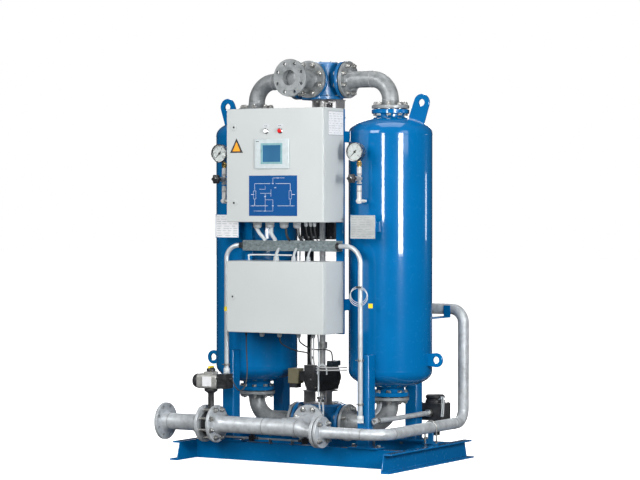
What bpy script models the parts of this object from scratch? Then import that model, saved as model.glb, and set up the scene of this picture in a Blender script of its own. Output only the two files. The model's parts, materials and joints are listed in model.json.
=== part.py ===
"""Twin-tower adsorption dryer for compressed air, on a channel skid.

Two adsorber towers stand side by side on four legs. A changeover valve above and one below swap them
between drying and regeneration, and one upright shaft turns both valves together.
Units are metres, X runs to the right, Y to the back and Z up. Every piece is placed in the skid's own
frame, and the datum empty moves the whole machine so that its box is centred on the origin.
"""

import math

import bmesh
import bpy
from mathutils import Vector

GAP = 0.0003
JOINT_GAP = 0.002

# Flanged pipe, DN80 and DN50, PN16
DN80_OUTER = 0.04445
DN80_BORE = 0.0410
DN80_BEND = 0.1143
DN80_FLANGE = 0.100
DN50_OUTER = 0.03015
DN50_BORE = 0.0273
DN50_BEND = 0.0760
DN50_FLANGE = 0.0825
FLANGE_THICK = 0.020
BOLT_CIRCLE = 0.080
BOLT_HOLE = 0.009
BOLT_COUNT = 8

# Towers
TOWER_X = 0.422
TOWER_RADIUS = 0.223
TOWER_WALL = 0.008
TOWER_SEAM_LOW = 0.494
TOWER_SEAM_HIGH = 1.760
HEAD_HEIGHT = 0.093
NOZZLE_RADIUS = 0.075
NOZZLE_TOP = 1.885
NOZZLE_BOTTOM = 0.362
NOZZLE_FLANGE = 0.022

# Skid and legs
SKID_HALF_X = 0.680
SKID_HALF_Y = 0.475
CHANNEL_HEIGHT = 0.100
CHANNEL_FLANGE = 0.050
CHANNEL_WEB = 0.006
CHANNEL_LIP = 0.0085
BEAM_END_SLOPE = 0.030
CROSS_BEAM_Y = 0.285
LEG_WIDTH = 0.070
LEG_TOP = 0.594
BASE_PLATE = (0.180, 0.090, 0.010)

# Valve and pipe levels
TOP_LEVEL = 2.052
BOTTOM_LEVEL = 0.205
PORT_REACH = 0.148
PORT_FRONT = 0.130
VALVE_RADIUS = 0.100
VALVE_HALF = 0.095
CHAMBER_RADIUS = 0.070
CHAMBER_HALF = 0.072
COVER_RADIUS = 0.112

# Brackets of flat plate between each valve and its drive: (lowest x, y, highest x, y) of every plate
YOKE_PLATE = 0.007
YOKE_HEIGHT = 0.111
TOP_YOKE_DECK = (-0.037, -0.054, 0.119, 0.045)
TOP_YOKE_SIDES = ((-0.035, -0.052, -0.026, 0.043), (0.109, -0.045, 0.117, 0.040))
STOP_X = 0.043
STOP_RADIUS = 0.0165
LOW_YOKE_DECK = (-0.088, -0.058, 0.063, 0.058)
LOW_YOKE_SIDES = ((-0.086, -0.056, -0.077, 0.056), (0.051, -0.056, 0.060, 0.002))

OUTLET_FACE_Y = -0.345
INLET_Y = -0.420
INLET_FACE_X = -0.754
BUTTERFLY_X = -0.447
BUTTERFLY_HALF = 0.023

# Shafts
SHAFT_RADIUS = 0.016
SHAFT_HOLE = 0.0185
ROTOR_TILT = math.radians(45)

# Actuators, lowest and highest
ACTUATOR_Z = (0.375, 0.530)
ACTUATOR_SHOULDER = 0.503
ACTUATOR_HALF = (0.0475, 0.100)
ACTUATOR_REACH = 0.127
SWITCH_BOX = ((0.008, 0.030), (0.050, 0.110))
INLET_ACTUATOR_Z = (0.392, 0.484)

# Enclosures share their sides and depth
BOX_LEFT = -0.328
BOX_RIGHT = 0.272
BOX_FRONT = -0.447
BOX_BACK = -0.237
DOOR_THICK = 0.018
SHEET = 0.003
CABINET_Z = (1.288, 1.888)
POWER_BOX_Z = (0.7015, 1.0815)

LOCK_RADIUS = 0.012
LOCK_X = -0.281
CABINET_LOCKS = (("door_lock_upper", 1.791), ("door_lock_lower", 1.389))
POWER_LOCK = (-0.290, 0.891)
BUTTON_RADIUS = 0.011
BUTTON_Z = 1.769
BUTTONS = (("start_button", -0.0794, "white_plastic"), ("stop_button", 0.0077, "red_plastic"))
PANEL_CENTRE = (-0.0408, 1.6475)
PANEL_SIZE = (0.214, 0.158)

# Posts behind the enclosures, and the pads that hold them to the towers
POST_X = (-0.3245, 0.2465)
POST_WIDTH = 0.045
POST_Y = (-0.2367, -0.2165)
POST_Z = (0.695, 1.885)
PAD_HEIGHTS = (0.850, 1.740)
PAD_HALF = 0.030
PAD_WIDTH = 0.015
TRAY_MIDDLE = 1.161

# Gauges hang in front of each tower
GAUGE_X = (-0.452, 0.393)
GAUGE_Y = -0.262
GAUGE_Z = 1.656
GAUGE_RADIUS = 0.050
STEM_RADIUS = 0.0125
KNOB_Z = 1.517
KNOB_REACH = 0.055
TAP_Z = 1.400
NEEDLE_REST = math.radians(225)

# Regeneration line: from the inlet manifold round the right side to the cooler, and back to the valves
REDUCER_START = 0.105
REDUCER_END = 0.190
DN50_LEVEL = BOTTOM_LEVEL - DN80_OUTER + DN50_OUTER
DN50_JOINT_X = 0.234
LINE_BEND = 0.114
RISER_X = 0.605
RISER_Y = 0.48985
RISER_TOP = 0.808
RISER_SPLIT = 0.110
RISER_RUN = 0.205
COOLER_X = 0.160
COOLER_Y = 0.370
COOLER_RADIUS = 0.1095
COOLER_Z = (0.440, 1.150)
COOLER_NECK = 0.040
RETURN_X = 0.272
RETURN_Y = 0.264
RETURN_TURN_Z = 1.300
RETURN_BEND = 0.070

# Condensate line with its drain valve
VENT_X = 0.485
VENT_Z = 0.247
VENT_Y = (-0.286, 0.330)
VENT_OUTER = 0.01345
VENT_BORE = 0.011
DRAIN_Y = 0.388
DRAIN_HALF = (0.065, 0.0575)
DRAIN_Z = (0.205, 0.298)
DRAIN_CAP = (0.054, 0.345)

# Air receiver and pilot valve block for the actuators
RECEIVER = (-0.141, 0.094)
RECEIVER_RADIUS = 0.025
RECEIVER_NECK = 0.0115
RECEIVER_Z = (0.330, 1.780)
RECEIVER_SHOULDER = 0.770
PILOT_Z = (1.190, 1.290)
PILOT_X = (-0.156, 0.060)

# The cable hangs from the power box to the inlet valve's switch box
CABLE_RADIUS = 0.0035
CABLE_POINTS = (
    (-0.2720, -0.3420, 0.7012),
    (-0.2720, -0.3420, 0.6700),
    (-0.2700, -0.3430, 0.6100),
    (-0.2640, -0.3480, 0.5500),
    (-0.2570, -0.3560, 0.4950),
    (-0.2540, -0.3680, 0.4400),
    (-0.2580, -0.3810, 0.4050),
    (-0.2690, -0.3930, 0.3880),
    (-0.2830, -0.4040, 0.3900),
    (-0.2940, -0.4120, 0.4060),
    (-0.3020, -0.4170, 0.4240),
    (-0.3100, -0.4195, 0.4410),
    (-0.3200, -0.4200, 0.4480),
    (-0.3306, -0.4200, 0.4480),
)

# Lifting lugs: the eye's centre, and the foot on the tower's head from its inner to its outer end
TOP_EYE = (0.612, 1.920)
TOP_EYE_RADIUS = 0.046
TOP_EYE_FOOT = ((0.520, 1.800), (0.612, 1.765))
RING_EYE_HEIGHTS = (0.530, 0.560)
RING_EYE_LEFT_X = 0.707
EYE_THICK = 0.012
EYE_HOLE = 0.019

# The right lifting lug and the inlet flange bound the machine in X
RIGHT_LUG_X = 0.700
LUG_RADIUS = 0.038
DATUM_SHIFT = -(INLET_FACE_X + RIGHT_LUG_X + LUG_RADIUS) / 2

COLOURS = {
    "machine_blue": ((0.004, 0.150, 0.470), 0.0, 0.35),
    "galvanised_steel": ((0.46, 0.47, 0.47), 0.8, 0.50),
    "cabinet_grey": ((0.66, 0.70, 0.70), 0.0, 0.45),
    "black_plastic": ((0.02, 0.02, 0.02), 0.0, 0.45),
    "cast_aluminium": ((0.55, 0.55, 0.53), 0.9, 0.40),
    "bright_steel": ((0.70, 0.70, 0.70), 1.0, 0.20),
    "gauge_steel": ((0.60, 0.60, 0.58), 1.0, 0.25),
    "panel_plastic": ((0.55, 0.57, 0.56), 0.0, 0.50),
    "red_plastic": ((0.60, 0.02, 0.02), 0.0, 0.30),
    "white_plastic": ((0.80, 0.80, 0.78), 0.0, 0.30),
    "desiccant_beads": ((0.75, 0.72, 0.65), 0.0, 0.90),
    "cable_rubber": ((0.05, 0.05, 0.05), 0.0, 0.60),
}


def clear_scene():
    for obj in list(bpy.data.objects):
        bpy.data.objects.remove(obj, do_unlink=True)


def make_materials():
    made = {}
    for name, (colour, metallic, roughness) in COLOURS.items():
        material = bpy.data.materials.new(name)
        material.use_nodes = True
        shader = material.node_tree.nodes["Principled BSDF"]
        shader.inputs["Base Color"].default_value = (*colour, 1.0)
        shader.inputs["Metallic"].default_value = metallic
        shader.inputs["Roughness"].default_value = roughness
        made[name] = material
    return made


clear_scene()
MATERIALS = make_materials()
DATUM = bpy.data.objects.new("datum", None)
DATUM.location = (DATUM_SHIFT, 0.0, 0.0)
bpy.context.collection.objects.link(DATUM)


# ---- building blocks -------------------------------------------------------------------------


def finish_object(bm, name, material, pivot=(0, 0, 0)):
    """Closes a bmesh drawn in the skid's frame into an object whose origin is at pivot."""
    bmesh.ops.remove_doubles(bm, verts=bm.verts, dist=1e-6)
    bmesh.ops.recalc_face_normals(bm, faces=bm.faces)
    bmesh.ops.translate(bm, verts=bm.verts, vec=-Vector(pivot))
    mesh = bpy.data.meshes.new(name)
    bm.to_mesh(mesh)
    bm.free()
    mesh.shade_smooth()
    mesh.set_sharp_from_angle(angle=math.radians(35))
    obj = bpy.data.objects.new(name, mesh)
    obj.location = pivot
    obj.parent = DATUM
    bpy.context.collection.objects.link(obj)
    if material:
        mesh.materials.append(MATERIALS[material])
    return obj


def tool(obj):
    """Marks an object as a boolean operand, which is not a piece of the machine."""
    obj.hide_render = True
    obj.display_type = "WIRE"
    return obj


def combine(base, joins=(), cuts=()):
    for operation, operands in (("UNION", joins), ("DIFFERENCE", cuts)):
        for operand in operands:
            modifier = base.modifiers.new(operand.name, "BOOLEAN")
            modifier.operation = operation
            modifier.object = tool(operand)
    return base


def ring_axes(direction, guide):
    across = guide.cross(direction).normalized()
    return across, direction.cross(across).normalized()


def draw_ring(bm, centre, direction, guide, radius, sides):
    first, second = ring_axes(direction, guide)
    turns = [2 * math.pi * i / sides for i in range(sides)]
    return [bm.verts.new(centre + radius * (math.cos(t) * first + math.sin(t) * second)) for t in turns]


def bridge(bm, ring, following):
    count = len(ring)
    for i in range(count):
        j = (i + 1) % count
        bm.faces.new((ring[i], ring[j], following[j], following[i]))


def cap(bm, ring):
    bm.faces.new(ring)


def route(corners, bend, steps):
    """Points and directions along a pipe with equal bends at its corners."""
    corners = [Vector(c) for c in corners]
    stations = [(corners[0], (corners[1] - corners[0]).normalized())]
    for before, corner, after in zip(corners, corners[1:], corners[2:]):
        inward = (corner - before).normalized()
        outward = (after - corner).normalized()
        angle = inward.angle(outward)
        setback = bend * math.tan(angle / 2)
        centre = corner - inward * setback
        normal = (outward - inward * inward.dot(outward)).normalized()
        centre = centre + normal * bend
        for i in range(steps + 1):
            t = angle * i / steps
            point = centre + bend * (math.sin(t) * inward - math.cos(t) * normal)
            stations.append((point, (math.cos(t) * inward + math.sin(t) * normal)))
    stations.append((corners[-1], (corners[-1] - corners[-2]).normalized()))
    return stations


def upright(stations, guide):
    """A guide vector for each station, carried along the route without twist."""
    guides = []
    for _, direction in stations:
        guide = (guide - direction * guide.dot(direction)).normalized()
        guides.append(guide.copy())
    return guides


def pipe(
    name, corners, outer, material, bore=None, bend=0.1, steps=3, sides=16, flanges=(0, 0), guide=(0, 1, 0)
):
    """A pipe along corners, with a flange of the given radius at each end where that isn't 0."""
    stations = route(corners, bend, steps)
    guides = upright(stations, Vector(guide))
    outside = [(p, d, g, outer) for (p, d), g in zip(stations, guides)]
    for end, radius in enumerate(flanges):
        if not radius:
            continue
        p, d, g, r = outside[0] if end == 0 else outside[-1]
        shoulder = p + d * FLANGE_THICK * (1 if end == 0 else -1)
        rings = [(p, d, g, radius), (shoulder, d, g, radius), (shoulder, d, g, r)]
        outside = rings + outside[1:] if end == 0 else outside[:-1] + rings[::-1]
    bm = bmesh.new()
    loops = [draw_ring(bm, p, d, g, r, sides) for p, d, g, r in outside]
    if bore:
        inside = [(p, d, g, bore) for (p, d), g in zip(stations, guides)][::-1]
        loops += [draw_ring(bm, p, d, g, r, sides) for p, d, g, r in inside]
        loops.append(loops[0])
    else:
        cap(bm, loops[0])
        cap(bm, loops[-1])
    for ring, following in zip(loops, loops[1:]):
        bridge(bm, ring, following)
    return finish_object(bm, name, material)


def turned(name, profile, material, centre=(0, 0, 0), axis=(0, 0, 1), sides=24, hollow=False, pivot=(0, 0, 0)):
    """Turns a profile of (radius, distance along axis) about an axis through centre."""
    axis = Vector(axis)
    guide = Vector((0, 1, 0)) if abs(axis.y) < 0.5 else Vector((0, 0, 1))
    bm = bmesh.new()
    loops = []
    for radius, distance in profile:
        loops.append(draw_ring(bm, Vector(centre) + axis * distance, axis, guide, radius, sides))
    if hollow:
        loops.append(loops[0])
    else:
        cap(bm, loops[0])
        cap(bm, loops[-1])
    for ring, following in zip(loops, loops[1:]):
        bridge(bm, ring, following)
    return finish_object(bm, name, material, pivot)


def block(name, low, high, material, bevel=0.0, pivot=(0, 0, 0)):
    low = Vector(low)
    high = Vector(high)
    bm = bmesh.new()
    bmesh.ops.create_cube(bm, size=1.0)
    bmesh.ops.scale(bm, vec=high - low, verts=bm.verts)
    bmesh.ops.translate(bm, vec=(low + high) / 2, verts=bm.verts)
    if bevel:
        bmesh.ops.bevel(bm, geom=bm.edges[:], offset=bevel, segments=1, affect="EDGES")
    return finish_object(bm, name, material, pivot)


def prism(name, outline, direction, thickness, material, pivot=(0, 0, 0)):
    """Extrudes a flat outline of points by thickness along direction."""
    bm = bmesh.new()
    face = bm.faces.new([bm.verts.new(p) for p in outline])
    grown = bmesh.ops.extrude_face_region(bm, geom=[face])
    moved = [v for v in grown["geom"] if isinstance(v, bmesh.types.BMVert)]
    bmesh.ops.translate(bm, verts=moved, vec=Vector(direction) * thickness)
    return finish_object(bm, name, material, pivot)


def rod(name, start, end, radius, material=None, sides=12, pivot=(0, 0, 0)):
    start = Vector(start)
    length = (Vector(end) - start).length
    axis = (Vector(end) - start).normalized()
    return turned(name, [(radius, 0), (radius, length)], material, start, axis, sides, pivot=pivot)


# ---- skid ------------------------------------------------------------------------------------


def channel_outline(web, tip, along):
    """The section of a channel: web and tip are positions across it, along places it lengthways."""
    side = 1 if tip > web else -1
    inner = web + side * CHANNEL_WEB
    low = CHANNEL_LIP
    high = CHANNEL_HEIGHT - CHANNEL_LIP
    flat = [
        (web, 0.0), (tip, 0.0), (tip, low), (inner, low),
        (inner, high), (tip, high), (tip, CHANNEL_HEIGHT), (web, CHANNEL_HEIGHT),
    ]
    return [along(across, height) for across, height in flat]


def side_beam(name, side):
    web = side * (SKID_HALF_X - CHANNEL_FLANGE)
    tip = side * SKID_HALF_X
    outline = channel_outline(web, tip, lambda across, height: (across, -SKID_HALF_Y, height))
    beam = prism(name, outline, (0, 1, 0), 2 * SKID_HALF_Y, "machine_blue")
    for vertex in beam.data.vertices:
        inset = BEAM_END_SLOPE * vertex.co.z / CHANNEL_HEIGHT
        vertex.co.y -= math.copysign(inset, vertex.co.y)
    return beam


def cross_beam(name, side):
    reach = SKID_HALF_X - CHANNEL_FLANGE - GAP
    web = side * CROSS_BEAM_Y
    tip = side * (CROSS_BEAM_Y - CHANNEL_FLANGE)
    outline = channel_outline(web, tip, lambda across, height: (-reach, across, height))
    return prism(name, outline, (1, 0, 0), 2 * reach, "machine_blue")


def make_skid():
    side_beam("skid_beam_left", -1)
    side_beam("skid_beam_right", 1)
    cross_beam("cross_beam_front", -1)
    cross_beam("cross_beam_rear", 1)


# ---- towers ----------------------------------------------------------------------------------


def head_profile(radius, height, steps):
    """A dished head as a quarter ellipse, from the seam towards the crown."""
    turns = [math.pi / 2 * i / steps for i in range(steps)]
    return [(radius * math.cos(t), height * math.sin(t)) for t in turns]


def tower_profile():
    outer_head = [p for p in head_profile(TOWER_RADIUS, HEAD_HEIGHT, 5) if p[0] > NOZZLE_RADIUS]
    inner = TOWER_RADIUS - TOWER_WALL
    inner_head = [p for p in head_profile(inner, HEAD_HEIGHT - TOWER_WALL, 3) if p[0] > DN80_BORE]
    collar = NOZZLE_TOP - NOZZLE_FLANGE
    foot = NOZZLE_BOTTOM + NOZZLE_FLANGE
    crown = TOWER_SEAM_HIGH + HEAD_HEIGHT * 0.92
    sole = TOWER_SEAM_LOW - HEAD_HEIGHT * 0.92
    outside = [(DN80_FLANGE, NOZZLE_BOTTOM), (DN80_FLANGE, foot), (NOZZLE_RADIUS, foot), (NOZZLE_RADIUS, sole)]
    outside += [(r, TOWER_SEAM_LOW - h) for r, h in outer_head[::-1]]
    outside += [(r, TOWER_SEAM_HIGH + h) for r, h in outer_head]
    outside += [(NOZZLE_RADIUS, crown), (NOZZLE_RADIUS, collar)]
    outside += [(DN80_FLANGE, collar), (DN80_FLANGE, NOZZLE_TOP)]
    inside = [(DN80_BORE, NOZZLE_TOP), (DN80_BORE, crown)]
    inside += [(r, TOWER_SEAM_HIGH + h) for r, h in inner_head[::-1]]
    inside += [(r, TOWER_SEAM_LOW - h) for r, h in inner_head]
    inside += [(DN80_BORE, sole), (DN80_BORE, NOZZLE_BOTTOM)]
    return outside + inside


def eye_outline(centre, foot_left, foot_right, radius, steps):
    """A lug in a plane of constant Y: two feet and a round end about centre, tangent to both sides."""
    centre = Vector(centre)
    feet = [Vector(foot_left), Vector(foot_right)]
    middle = (feet[0] + feet[1]) / 2
    up = (centre - middle).normalized()
    side = Vector((up.z, 0, -up.x))
    turns = [math.pi * (i / (steps - 1)) for i in range(steps)]
    rounded = [centre + radius * (math.cos(t) * side + math.sin(t) * up) for t in turns]
    return [feet[1]] + rounded + [feet[0]]


def lug_parts(name, centre, feet, radius, steps):
    """A lug and the cutter for its eye. Feet are its right and left ends on the tower."""
    lug = prism(name, eye_outline(centre, *feet, radius, steps), (0, 1, 0), EYE_THICK, None)
    x, _, z = centre
    hole = rod(name + "_hole", (x, -0.03, z), (x, 0.03, z), EYE_HOLE, sides=12)
    return lug, hole


def top_lug(name, side):
    front = -EYE_THICK / 2
    centre = (side * TOP_EYE[0], front, TOP_EYE[1])
    inner, outer = [(side * x, front, z) for x, z in TOP_EYE_FOOT]
    feet = (inner, outer) if side > 0 else (outer, inner)
    return lug_parts(name, centre, feet, TOP_EYE_RADIUS, 7)


def ring_lug(name, side):
    front = -EYE_THICK / 2
    height = RING_EYE_HEIGHTS[0] if side < 0 else RING_EYE_HEIGHTS[1]
    reach = RING_EYE_LEFT_X if side < 0 else RIGHT_LUG_X
    root = side * (TOWER_X + TOWER_RADIUS - 0.006)
    low = (root, front, height - 0.030)
    high = (root, front, height + 0.030)
    feet = (high, low) if side > 0 else (low, high)
    return lug_parts(name, (side * reach, front, height), feet, LUG_RADIUS, 9)


def make_tower(label, side):
    name = "tower_" + label
    tower = turned(name, tower_profile(), "machine_blue", (side * TOWER_X, 0, 0), sides=24, hollow=True)
    lugs = []
    holes = []
    for lug, hole in (top_lug(name + "_top_lug", side), ring_lug(name + "_ring_lug", side)):
        lugs.append(lug)
        holes.append(hole)
    combine(tower, lugs, holes)


def make_desiccant(label, side):
    radius = TOWER_RADIUS - TOWER_WALL - 0.004
    profile = [(radius, TOWER_SEAM_LOW + 0.010), (radius, TOWER_SEAM_HIGH - 0.060)]
    turned("desiccant_" + label, profile, "desiccant_beads", (side * TOWER_X, 0, 0), sides=24)


def make_leg(label, side, face):
    name = "leg_" + label
    middle_x = side * TOWER_X
    near = TOWER_RADIUS + GAP
    middle_y = face * (near + LEG_WIDTH / 2)
    half = LEG_WIDTH / 2
    plate_x, plate_y, plate_z = BASE_PLATE
    foot = CHANNEL_HEIGHT + GAP
    base = block(
        name,
        (middle_x - plate_x / 2, middle_y - plate_y / 2, foot),
        (middle_x + plate_x / 2, middle_y + plate_y / 2, foot + plate_z),
        "machine_blue",
    )
    post = block(
        name + "_post",
        (middle_x - half, middle_y - half, foot + plate_z / 2),
        (middle_x + half, middle_y + half, LEG_TOP),
        None,
    )
    combine(base, [post])


def make_towers():
    for label, side in (("left", -1), ("right", 1)):
        make_tower(label, side)
        make_desiccant(label, side)
        make_leg(label + "_front", side, -1)
        make_leg(label + "_rear", side, 1)


# ---- process piping --------------------------------------------------------------------------


def make_elbows():
    reach = PORT_REACH + JOINT_GAP
    for label, side in (("left", -1), ("right", 1)):
        over = [
            (side * TOWER_X, 0, NOZZLE_TOP + JOINT_GAP), (side * TOWER_X, 0, TOP_LEVEL),
            (side * reach, 0, TOP_LEVEL),
        ]
        under = [
            (side * TOWER_X, 0, NOZZLE_BOTTOM - JOINT_GAP), (side * TOWER_X, 0, BOTTOM_LEVEL),
            (side * reach, 0, BOTTOM_LEVEL),
        ]
        for level, corners in (("top", over), ("bottom", under)):
            pipe(
                f"{level}_elbow_{label}", corners, DN80_OUTER, "galvanised_steel", DN80_BORE, DN80_BEND,
                flanges=(DN80_FLANGE, DN80_FLANGE),
            )


def bolt_hole_cutters(name, centre, axis):
    axis = Vector(axis)
    first, second = ring_axes(axis, Vector((0, 0, 1)))
    cutters = []
    for i in range(BOLT_COUNT):
        turn = 2 * math.pi * (i + 0.5) / BOLT_COUNT
        middle = Vector(centre) + BOLT_CIRCLE * (math.cos(turn) * first + math.sin(turn) * second)
        hole = rod(f"{name}_hole_{i}", middle - axis * 0.02, middle + axis * 0.04, BOLT_HOLE, sides=8)
        cutters.append(hole)
    return cutters


def make_outlet_spool():
    back = -(PORT_FRONT + JOINT_GAP)
    corners = [(0, OUTLET_FACE_Y, TOP_LEVEL), (0, back, TOP_LEVEL)]
    spool = pipe(
        "outlet_spool", corners, DN80_OUTER, "galvanised_steel", DN80_BORE,
        flanges=(DN80_FLANGE, DN80_FLANGE), guide=(0, 0, 1),
    )
    combine(spool, cuts=bolt_hole_cutters("outlet", corners[0], (0, 1, 0)))


def make_inlet_spool():
    end = BUTTERFLY_X - BUTTERFLY_HALF - JOINT_GAP
    corners = [(INLET_FACE_X, INLET_Y, BOTTOM_LEVEL), (end, INLET_Y, BOTTOM_LEVEL)]
    spool = pipe(
        "inlet_spool", corners, DN80_OUTER, "galvanised_steel", DN80_BORE,
        flanges=(DN80_FLANGE, DN80_FLANGE),
    )
    combine(spool, cuts=bolt_hole_cutters("inlet", corners[0], (1, 0, 0)))


def reducer_part(name, big, small):
    """The eccentric reducer and its short DN50 end, flat along the bottom."""
    bm = bmesh.new()
    guide = Vector((0, 1, 0))
    along = Vector((1, 0, 0))
    floor = BOTTOM_LEVEL - DN80_OUTER
    places = [
        (REDUCER_START - 0.02, BOTTOM_LEVEL, big),
        (REDUCER_START, BOTTOM_LEVEL, big),
        (REDUCER_END, floor + DN50_OUTER, small),
        (DN50_JOINT_X - JOINT_GAP / 2 + (0.01 if big < DN80_OUTER else 0), floor + DN50_OUTER, small),
    ]
    loops = []
    for x, z, radius in places:
        loops.append(draw_ring(bm, Vector((x, INLET_Y, z)), along, guide, radius, 16))
    cap(bm, loops[0])
    cap(bm, loops[-1])
    for ring, following in zip(loops, loops[1:]):
        bridge(bm, ring, following)
    return finish_object(bm, name, None)


def make_inlet_manifold():
    start = BUTTERFLY_X + BUTTERFLY_HALF + JOINT_GAP
    branch_end = -(PORT_FRONT + JOINT_GAP)
    level = BOTTOM_LEVEL
    joint = DN50_JOINT_X - JOINT_GAP / 2
    main = pipe(
        "inlet_manifold", [(start, INLET_Y, level), (REDUCER_START, INLET_Y, level)], DN80_OUTER,
        "galvanised_steel", flanges=(DN80_FLANGE, 0),
    )
    branch = pipe(
        "branch", [(0, INLET_Y, level), (0, branch_end, level)], DN80_OUTER, None, flanges=(0, DN80_FLANGE),
        guide=(0, 0, 1),
    )
    face = Vector((joint, INLET_Y, DN50_LEVEL))
    flange = rod("dn50_flange", face - Vector((0.018, 0, 0)), face, DN50_FLANGE, sides=16)
    near = Vector((start - 0.01, INLET_Y, level))
    far = Vector((REDUCER_START - 0.01, INLET_Y, level))
    tee = Vector((0, INLET_Y, level))
    bores = [
        rod("main_bore", near, far, DN80_BORE, sides=16),
        rod("branch_bore", tee, (0, branch_end + 0.01, level), DN80_BORE - 0.0005, sides=16),
        reducer_part("reducer_bore", DN80_BORE - 0.001, DN50_BORE),
    ]
    combine(main, [reducer_part("reducer", DN80_OUTER, DN50_OUTER), flange, branch], bores)


def make_regen_line():
    start = DN50_JOINT_X + JOINT_GAP / 2
    split = RISER_Y - RISER_SPLIT
    corners = [(start, INLET_Y, DN50_LEVEL), (RISER_X, INLET_Y, DN50_LEVEL), (RISER_X, split, DN50_LEVEL)]
    pipe(
        "regen_line", corners, DN50_OUTER, "galvanised_steel", DN50_BORE, LINE_BEND, 3, 12,
        flanges=(DN50_FLANGE, 0), guide=(0, 1, 0),
    )
    corner = Vector((RISER_X - RISER_RUN, RISER_Y, RISER_TOP))
    cooler = Vector((COOLER_X, COOLER_Y, RISER_TOP))
    entry = cooler + (corner - cooler).normalized() * (COOLER_RADIUS + 0.001)
    riser = [
        (RISER_X, split + GAP, DN50_LEVEL), (RISER_X, RISER_Y, DN50_LEVEL), (RISER_X, RISER_Y, RISER_TOP),
        corner, entry,
    ]
    pipe(
        "regen_riser", riser, DN50_OUTER, "galvanised_steel", DN50_BORE, DN50_BEND, guide=(1, 0, 0), sides=12,
    )


def make_cooler():
    """An upright shell with rounded ends, and its outlet to the lower valve's rear port."""
    low, high = COOLER_Z
    shoulder = COOLER_RADIUS * 0.8
    profile = [
        (COOLER_NECK, low), (shoulder, low + 0.015), (COOLER_RADIUS, low + 0.045),
        (COOLER_RADIUS, high - 0.045), (shoulder, high - 0.015), (COOLER_NECK, high),
    ]
    shell = turned("regen_cooler", profile, "galvanised_steel", (COOLER_X, COOLER_Y, 0), sides=20)
    corners = [
        (COOLER_X, COOLER_Y, low + 0.01), (COOLER_X, COOLER_Y, BOTTOM_LEVEL),
        (0, COOLER_Y - 0.06, BOTTOM_LEVEL), (0, PORT_FRONT + JOINT_GAP, BOTTOM_LEVEL),
    ]
    outlet = pipe(
        "cooler_outlet", corners, DN50_OUTER, None, None, 0.060, 3, 12, flanges=(0, DN80_FLANGE),
        guide=(1, 0, 0),
    )
    combine(shell, [outlet])


def make_return_pipe():
    """From the upper valve's rear port, behind the right tower, down to the top of the cooler."""
    corners = [
        (0, PORT_FRONT + JOINT_GAP, TOP_LEVEL), (0, RETURN_Y, TOP_LEVEL), (RETURN_X, RETURN_Y, TOP_LEVEL),
        (RETURN_X, RETURN_Y, RETURN_TURN_Z), (COOLER_X, COOLER_Y, RETURN_TURN_Z),
        (COOLER_X, COOLER_Y, COOLER_Z[1] + GAP),
    ]
    pipe(
        "cooler_return_pipe", corners, DN50_OUTER, "galvanised_steel", DN50_BORE, RETURN_BEND, 3, 12,
        flanges=(DN80_FLANGE, 0), guide=(1, 0, 0),
    )


def make_vent():
    """The condensate line along the right side, and the drain valve on its rear end."""
    front, back = VENT_Y
    pipe(
        "vent_pipe", [(VENT_X, front, VENT_Z), (VENT_X, back, VENT_Z)], VENT_OUTER, "galvanised_steel",
        VENT_BORE, sides=12, guide=(0, 0, 1),
    )
    half_x, half_y = DRAIN_HALF
    low, high = DRAIN_Z
    cap_radius, cap_top = DRAIN_CAP
    body = block(
        "drain_valve", (VENT_X - half_x, back + GAP, low), (VENT_X + half_x, back + GAP + 2 * half_y, high),
        "black_plastic", 0.008,
    )
    shoulder = (VENT_X, DRAIN_Y, high - 0.005)
    bonnet = rod("drain_bonnet", shoulder, (VENT_X, DRAIN_Y, cap_top), cap_radius, sides=20)
    foot = block(
        "drain_foot", (VENT_X - 0.020, DRAIN_Y - 0.020, CHANNEL_HEIGHT + 0.020),
        (VENT_X + 0.020, DRAIN_Y + 0.020, low + 0.005), None,
    )
    combine(body, [bonnet, foot])


# ---- changeover valves -----------------------------------------------------------------------


def valve_body(name, level, underside_open):
    """A four-port body: two ports to the towers, one in front and one behind."""
    low = level - VALVE_HALF
    high = level + VALVE_HALF
    body = turned(name, [(VALVE_RADIUS, low), (VALVE_RADIUS, high)], "machine_blue", sides=16)
    sideways = pipe(
        name + "_ports_x", [(-PORT_REACH, 0, level), (PORT_REACH, 0, level)], 0.060, None,
        flanges=(DN80_FLANGE, DN80_FLANGE),
    )
    lengthways = pipe(
        name + "_ports_y", [(0, -PORT_FRONT, level), (0, PORT_FRONT, level)], 0.060, None,
        flanges=(DN80_FLANGE, DN80_FLANGE), guide=(0, 0, 1),
    )
    floor = (0, 0, level - CHAMBER_HALF)
    ceiling = (0, 0, level + CHAMBER_HALF)
    chamber = rod(name + "_chamber", floor, ceiling, CHAMBER_RADIUS, sides=16)
    bore_x = rod(name + "_bore_x", (-0.2, 0, level), (0.2, 0, level), DN80_BORE, sides=12)
    bore_y = rod(name + "_bore_y", (0, -0.2, level), (0, 0.2, level), DN80_BORE, sides=12)
    ends = (level - 0.2, level) if underside_open else (level, level + 0.2)
    stem_hole = rod(name + "_stem_hole", (0, 0, ends[0]), (0, 0, ends[1]), SHAFT_HOLE, sides=12)
    return combine(body, [sideways, lengthways], [chamber, bore_x, bore_y, stem_hole])


def yoke_parts(name, deck, sides, low, high):
    """Bracket parts: a plate at either end and the upright sides between them."""
    parts = []
    for i, bottom in enumerate((low, high - YOKE_PLATE)):
        x0, y0, x1, y1 = deck
        parts.append(block(f"{name}_deck_{i}", (x0, y0, bottom), (x1, y1, bottom + YOKE_PLATE), None))
    for i, (x0, y0, x1, y1) in enumerate(sides):
        parts.append(block(f"{name}_side_{i}", (x0, y0, low + 0.005), (x1, y1, high - 0.005), None))
    return parts


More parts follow.
